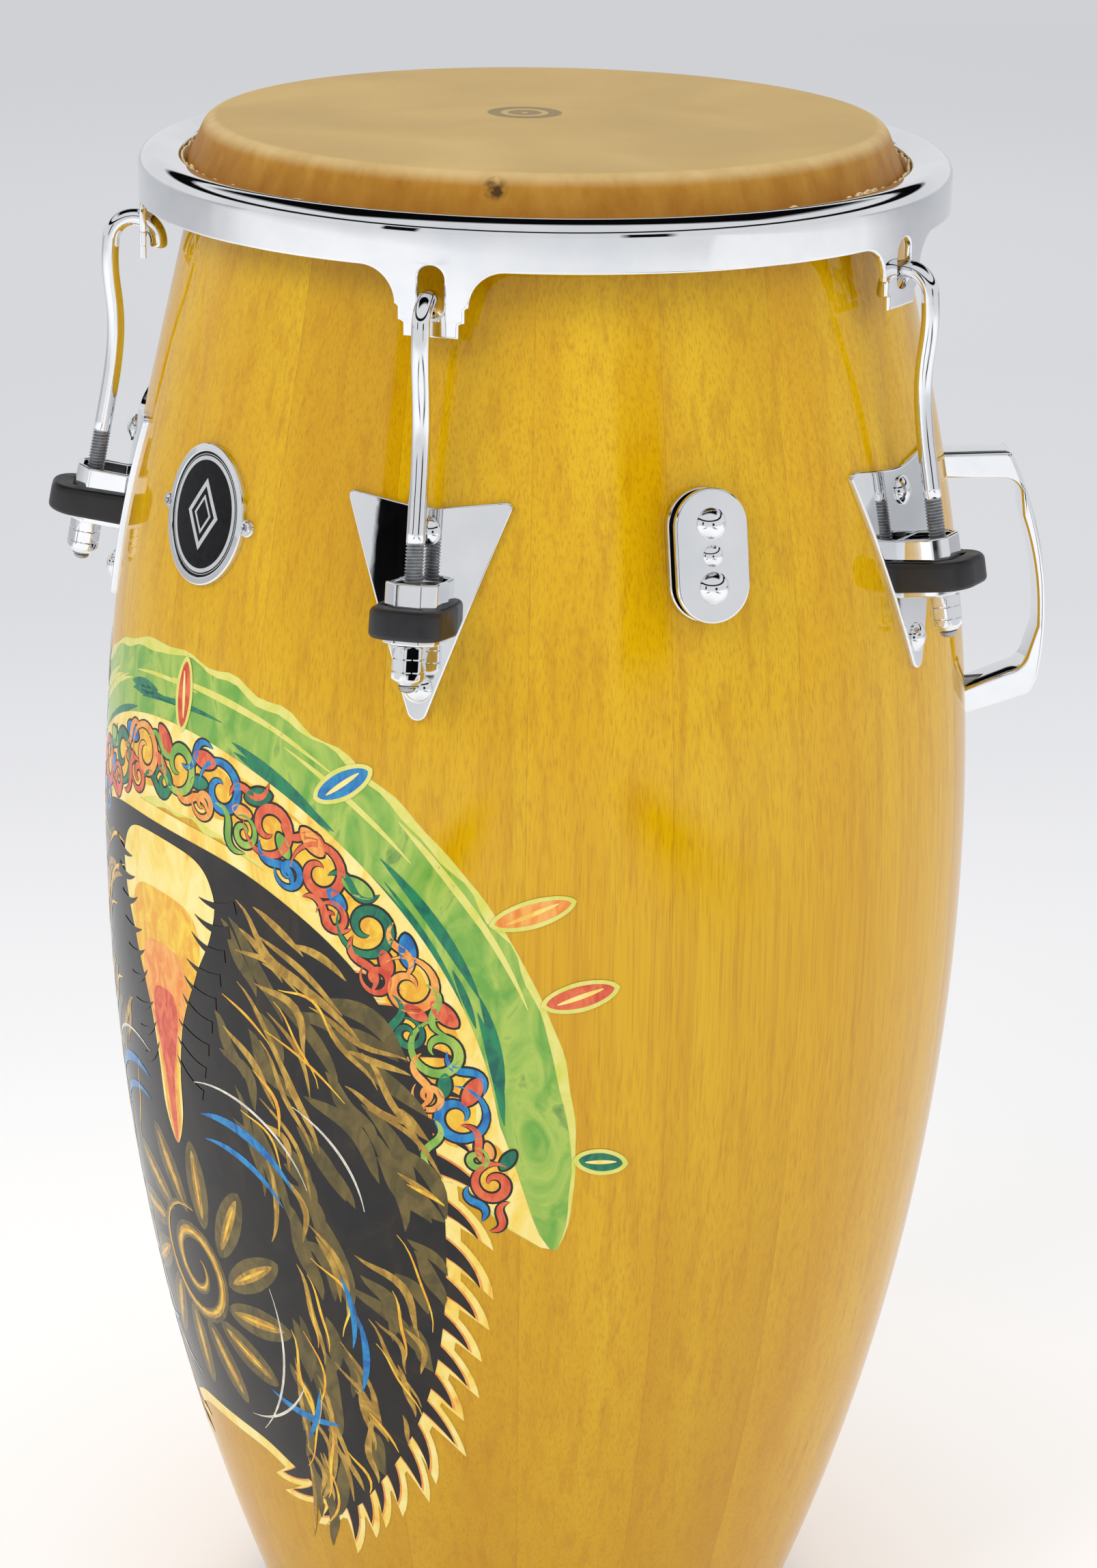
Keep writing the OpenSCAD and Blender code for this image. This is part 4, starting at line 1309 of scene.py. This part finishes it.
def flame_edge(swell, seed):
    """Flames that lick outwards and down, round the sides of the dark field."""
    chance = random.Random(seed)
    loop = field_loop()
    out = []
    for k in range(0, len(loop), 3):
        p, q = Vector(loop[k]), Vector(loop[(k + 1) % len(loop)])
        outward = Vector(((q - p).y, -(q - p).x)).normalized()
        angle = math.degrees(math.atan2(outward.y, outward.x))
        side = 1 if p.x > FIELD_MID else -1
        length, width, droop = chance.uniform(24, 36), chance.uniform(8, 11), chance.uniform(20, 48)
        if p.y > 425 or (abs(p.x - FIELD_MID) < 60 and p.y < 160):
            continue
        root = p - outward * 9
        out.append(tongue(lock(root, angle - side * 18, length + swell, -side * droop, 8), width + swell))
    return out


def make_crescent():
    """The green and cream crescent with its curls."""
    artwork("art_glow", ([arch_band(-0.05, 1.04, 1.0, 21)], 0, "lime"))
    artwork("art_green", ([arch_band(0.0, 0.62, 1.6, 22)], 1, "green"))
    artwork("art_teal", (arch_streaks(26, 0.26, 0.44, 4.6, 5), 2, "teal"))
    artwork("art_lime", (arch_streaks(18, 0.05, 0.22, 3.0, 6), 2, "lime"))
    artwork("art_cream", ([arch_band(0.44, 1.0, 1.3, 23)], 3, "cream"))
    artwork("art_gold_streaks", (arch_streaks(26, 0.52, 0.92, 3.0, 8), 4, "yellow"))

    chance = random.Random(31)
    names = ["red", "blue", "green", "orange", "teal", "red"]
    glows, rims, fills = [], [], {name: [] for name in names}
    phi, k = -2.0, 0
    while phi < 182:
        w = arch_width(phi)
        hand = 1 if k % 2 else -1
        motifs = (
            (0.70, 0.0, 0.22, "curl", 4.4), (0.86, 4.2, 0.12, "curl", 3.2), (0.57, 4.6, 0.13, "leaf", 3.0),
            (0.88, -3.4, 0.20, "wave", 3.6), (0.74, 6.4, 0.10, "leaf", 2.4), (0.60, -4.4, 0.19, "wave", 3.4),
        )
        for j, (share, ahead, reach, kind, width) in enumerate(motifs):
            c = arch(phi + ahead * chance.uniform(0.8, 1.2), share * w)
            size, heading = reach * w, phi + 90 + chance.uniform(-40, 40)
            name = names[(k + j * 2 + (j > 2)) % len(names)]
            for extra, target in ((2.2, rims), (0, fills[name])):
                if kind == "curl":
                    target.append(curl(c, heading, size, 1.35, hand if j else -hand, width + extra))
                elif kind == "wave":
                    target.append(wave_stroke(c, heading, size * 2.4, 50 * hand, width + extra))
                else:
                    target.append(leaf_shape(c, size * 1.8 + extra, size * 0.9 + extra, heading))
        glows.append(leaf_shape(arch(phi + 2, 0.74 * w), 0.6 * w, 0.34 * w, phi + 90))
        phi += 11.4
        k += 1
    layers = [(loops, 7, name) for name, loops in sorted(fills.items())]
    artwork("art_curls", (glows, 5, "yellow"), (rims, 6, "ink"), *layers)


def make_field():
    """The dark field with its flame strokes, a spiral and a flame down its middle."""
    artwork("art_halo", ([field_loop(7)] + flame_edge(9, 3), 4, "cream"))
    artwork(
        "art_field",
        (flame_edge(2.2, 3), 5.5, "orange"),
        (flame_edge(0, 3), 6.3, "ink"),
        ([field_loop()], 6.8, "ink"),
    )

    strokes = {name: [] for name in ("olive", "gold", "yellow", "blue", "pale")}
    chance = random.Random(12)
    for side in (-1, 1):
        draw_plume(side, chance, strokes)
        for u, v, length, heading, turn, width in (
            (24, 330, 66, 20, -74, 5.0), (26, 318, 56, 14, -66, 3.6), (112, 250, 44, -70, -40, 4.0),
            (104, 270, 40, -60, -44, 3.4), (50, 190, 46, -30, 40, 4.4), (84, 200, 34, -96, -30, 3.4),
        ):
            strokes["blue"].append(ribbon(mirrored(lock((u, v), heading, length, turn), side), width))
        for u, v, length, heading, turn in (
            (18, 344, 88, 24, -92), (60, 250, 96, -70, -66), (28, 168, 60, 4, 58), (84, 352, 60, -20, -60),
        ):
            strokes["pale"].append(ribbon(mirrored(lock((u, v), heading, length, turn, 16), side), 1.5))
    draw_spiral(strokes)
    order = (("olive", 7.6), ("gold", 8.4), ("yellow", 9.2), ("blue", 9.6), ("pale", 10.0))
    artwork("art_strokes", *[(strokes[name], layer, name) for name, layer in order])

    flame = [(0, 0), (8, 16), (10, 40), (15, 66), (26, 92), (38, 116), (40, 136), (24, 150)]
    layers = []
    for scale, layer, name in (
        (1.0, 10.4, "cream"), (0.74, 11.0, "yellow"), (0.48, 11.6, "orange"), (0.26, 12.2, "red"),
    ):
        right = [(FIELD_MID + u * scale, 306 + v * (0.35 + 0.65 * scale)) for u, v in flame]
        left = [(2 * FIELD_MID - u, v) for u, v in right[1:]]
        layers.append(([curve(right + left[::-1], closed=True)], layer, name))
    marks = []
    for side in (-1, 1):
        for step in range(9):
            root = (27 + 3.4 * step, 340 + 12.5 * step)
            path = lock(root, 170 + 4 * step, 24, -50 + 8 * (step % 3), 8)
            marks.append(tongue(mirrored(path, side), 6.0))
    artwork("art_flame", *layers, (marks, 12.8, "ink"))


def mirrored(path, side):
    """A path drawn right of the field's middle, put on either side of it."""
    return [(FIELD_MID + side * u, v) for u, v in path]


def draw_plume(side, chance, strokes):
    """Wavy strokes that flow outwards and down through one half of the dark field."""
    for name, count, wide in (("olive", 62, 7.5), ("gold", 58, 3.4), ("yellow", 22, 1.7)):
        for _ in range(count):
            v = chance.uniform(150, 446)
            u_max = field_half(v)
            u_min = 34 if v > 330 else 66
            if u_max - u_min < 10:
                continue
            u = chance.uniform(u_min, u_max - 6)
            outwards = (u - u_min) / (u_max - u_min)
            heading = -18 - 62 * (446 - v) / 296 + 22 * outwards + chance.uniform(-14, 14)
            length, turn, sway = chance.uniform(26, 58), chance.uniform(-60, -15), chance.uniform(-18, 18)
            path = lock((u, v), heading, length, turn, 10, sway)
            path = [(a, b) for a, b in path if a < field_half(b) + 2]
            if len(path) > 5:
                strokes[name].append(ribbon(mirrored(path, side), wide * chance.uniform(0.7, 1.3)))


def draw_spiral(strokes):
    """A spiral among petals, low in the dark field."""
    c = (FIELD_MID, 240.0)
    for name, length, leaf_w, size, curl_w in (
        ("olive", 46, 17, 34, 9.0), ("gold", 36, 6, 33, 5.0), ("yellow", 24, 1.8, 32.5, 1.8),
    ):
        for a in range(15, 375, 30):
            strokes[name].append(leaf_shape(onward(c, a, 50), length, leaf_w, a + 18))
        strokes[name].append(curl(c, 80, size, 1.9, 1, curl_w))


def field_half(v):
    """Half the dark field's width at height v."""
    pairs = sorted((b, a) for a, b in FIELD_SIDE[:10])
    v = min(max(v, pairs[0][0]), pairs[-1][0])
    for (v0, u0), (v1, u1) in zip(pairs, pairs[1:]):
        if v <= v1:
            return u0 + (u1 - u0) * (v - v0) / (v1 - v0)


def make_leaves():
    """Small leaves blown about the crescent."""
    leaves = (
        (-1, 528, 30, 9, 88, "red"), (95, 508, 28, 10, 32, "blue"), (181, 458, 34, 9, 18, "orange"),
        (202, 420, 30, 10, 14, "red"), (213, 340, 20, 9, -8, "teal"), (-120, 512, 26, 9, 130, "blue"),
    )
    rims = [leaf_shape((u, v), length + 5, width + 4, heading) for u, v, length, width, heading, _ in leaves]
    layers = [(rims, 7, "lime")]
    for u, v, length, width, heading, name in leaves:
        vein = leaf_shape((u, v), length * 0.7, width * 0.22, heading + 6)
        layers.append(([leaf_shape((u, v), length, width, heading)], 8, name))
        layers.append(([vein], 9, "cream"))
    artwork("art_leaves", *layers)


# ---------------------------------------------------------------- the drum

make_shell()
make_foot()
make_head()
make_tuck()
make_rim()
for lug in LUGS:
    make_hook(lug)
    make_nut(lug)
    make_side_plate(lug)
    make_bracket(lug)
    make_protector(lug)
make_side_plate_bolts()
make_handle()
make_mount()
make_badge()
make_crescent()
make_field()
make_leaves()

PLATED_NODES = (
    "flesh_hoop", "side_plate_washers", "side_plate_nuts", "mount_washers", "mount_nuts",
    "handle_screws", "handle_washers",
)
for node_name in PLATED_NODES:
    mesh_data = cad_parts[node_name].data
    mesh_data.materials.clear()
    mesh_data.materials.append(ZINC)

# ---------------------------------------------------------------- stage


def studio_floor():
    """A pale floor, white near the camera and light grey far behind: the grading is painted light falloff.
    """
    f = Finish("studio_floor", Roughness=1.0, Specular_IOR_Level=0.0)
    speckle = f.noise(f.where, 3, detail=2)
    # Painted light: the grading from white to grey stands in for the fall of light across the floor.
    painted_light_falloff = f.ramp(
        f.span(f.axis("Y"), 0.0, 6.4),
        (0.04, (255, 255, 255)),
        (0.11, (236, 236, 236)),
        (0.19, (221, 221, 223)),
        (0.28, (209, 209, 211)),
        (0.45, (206, 207, 209)),
        (1.0, (228, 229, 231)),
    )
    f.set("Base Color", f.mix(f.span(speckle, 0, 1, 0.0, 0.03), painted_light_falloff, (225, 225, 225)))
    return f.material


def card_finish(name):
    """Near-black cloth for the dark cards."""
    f = Finish(name, Roughness=0.9, Specular_IOR_Level=0.0)
    f.two_tone(f.noise(f.where, 8), (6, 6, 7), (14, 14, 15))
    return f


def staged(name, verts, faces, material):
    """A new object of the studio, in metres."""
    mesh = bpy.data.meshes.new(name)
    mesh.from_pydata(verts, [], faces)
    mesh.materials.append(material)
    obj = bpy.data.objects.new(name, mesh)
    bpy.context.scene.collection.objects.link(obj)
    return obj


def sheet(name, width, height, material):
    """A flat rectangle of the studio."""
    w, h = width / 2, height / 2
    return staged(name, [(-w, -h, 0), (w, -h, 0), (w, h, 0), (-w, h, 0)], [(0, 1, 2, 3)], material)


def reflected_only(card):
    """Hides a card from the camera and from soft light."""
    card.visible_camera = False
    card.visible_diffuse = False
    card.visible_shadow = False


def soft_card(name, place_at, width, height, facing, soft):
    """A dark card with soft edges that only reflections see. It faces the point given, in metres."""
    f = card_finish(name)
    spread = f.node("ShaderNodeTexCoord").outputs["Generated"]
    edge = 1.0
    for axis in ("X", "Y"):
        across = f.axis(axis, spread)
        near = f.span(across, 0.0, soft)
        far = f.span(across, 1.0, 1.0 - soft)
        edge = f.math("MULTIPLY", edge, f.math("MULTIPLY", near, far))
    f.set("Alpha", edge)
    card = sheet(name, width, height, f.material)
    card.location = place_at
    card.rotation_euler = (Vector(facing) - Vector(place_at)).to_track_quat("Z", "Y").to_euler()
    reflected_only(card)


def dark_band(name, low, high, radius):
    """A dark ring round the set with soft edges, between two heights in metres."""
    f = card_finish(name)
    height = f.axis("Z")
    fade = (high - low) / 5
    f.set("Alpha", f.math("MULTIPLY", f.span(height, low, low + fade), f.span(height, high, high - fade)))
    sides = 96
    turns = [math.tau * k / sides for k in range(sides)]
    verts = [(radius * math.sin(a), -radius * math.cos(a), z) for z in (low, high) for a in turns]
    faces = [(k, (k + 1) % sides, sides + (k + 1) % sides, sides + k) for k in range(sides)]
    reflected_only(staged(name, verts, faces, f.material))


def make_stage():
    """Floor, dark cards that give the chrome its black lines, lights and world."""
    sheet("floor", 80, 80, studio_floor())

    middle = (0, 0, 0.65)
    mat_at = around(2.4, 28, 0.012)
    soft_card("floor_mat", mat_at, 0.9, 2.8, (mat_at[0], mat_at[1], 1), 0.42)
    soft_card("right_card", around(3.75, 24, 0.95), 1.1, 1.3, middle, 0.2)
    soft_card("left_card", around(3.75, -42, 1.2), 0.75, 1.4, middle, 0.12)
    left_at = around(2.2, -22, 0.012)
    soft_card("left_mat", left_at, 0.55, 2.2, (left_at[0], left_at[1], 1), 0.4)
    soft_card("overhead_card", (0, 1.6, 4.0), 6.5, 5.2, (0, 1.6, 0), 0.12)
    dark_band("upper_band", 2.15, 3.1, 3.9)

    for name, place_at, size, watts in (
        ("key", (-2.6, -2.2, 3.2), 2.2, 55),
        ("fill", (3.0, -1.8, 2.4), 2.6, 25),
        ("back", (0.5, 3.2, 3.4), 3.0, 40),
    ):
        light = bpy.data.lights.new(name, "AREA")
        light.shape = "DISK"
        light.size = size
        light.energy = watts
        lamp = bpy.data.objects.new(name, light)
        lamp.location = place_at
        lamp.visible_glossy = False
        lamp.rotation_euler = (Vector((0, 0, 0.45)) - Vector(place_at)).to_track_quat("-Z", "Y").to_euler()
        bpy.context.scene.collection.objects.link(lamp)

    world = bpy.data.worlds.new("studio")
    world.use_nodes = True
    sky = world.node_tree.nodes["Background"].inputs
    sky["Color"].default_value = linear(250, 251, 253)
    sky["Strength"].default_value = 0.82
    bpy.context.scene.world = world


def make_camera():
    """The camera at the photograph's angle."""
    data = bpy.data.cameras.new("camera")
    data.lens = 81.93
    data.sensor_width = 36
    data.clip_end = 200
    camera = bpy.data.objects.new("camera", data)
    bpy.context.scene.collection.objects.link(camera)
    az, aim, tilt, roll = -3.4, -0.219, 70.46, 1.007
    camera.location = around(1.6165, az, 1.0179)
    turn = Matrix.Rotation(math.radians(az + aim), 4, "Z") @ Matrix.Rotation(math.radians(tilt), 4, "X")
    camera.rotation_euler = (turn @ Matrix.Rotation(math.radians(roll), 4, "Z")).to_euler()
    bpy.context.scene.camera = camera


make_stage()
make_camera()
bpy.context.scene.view_settings.view_transform = "Standard"
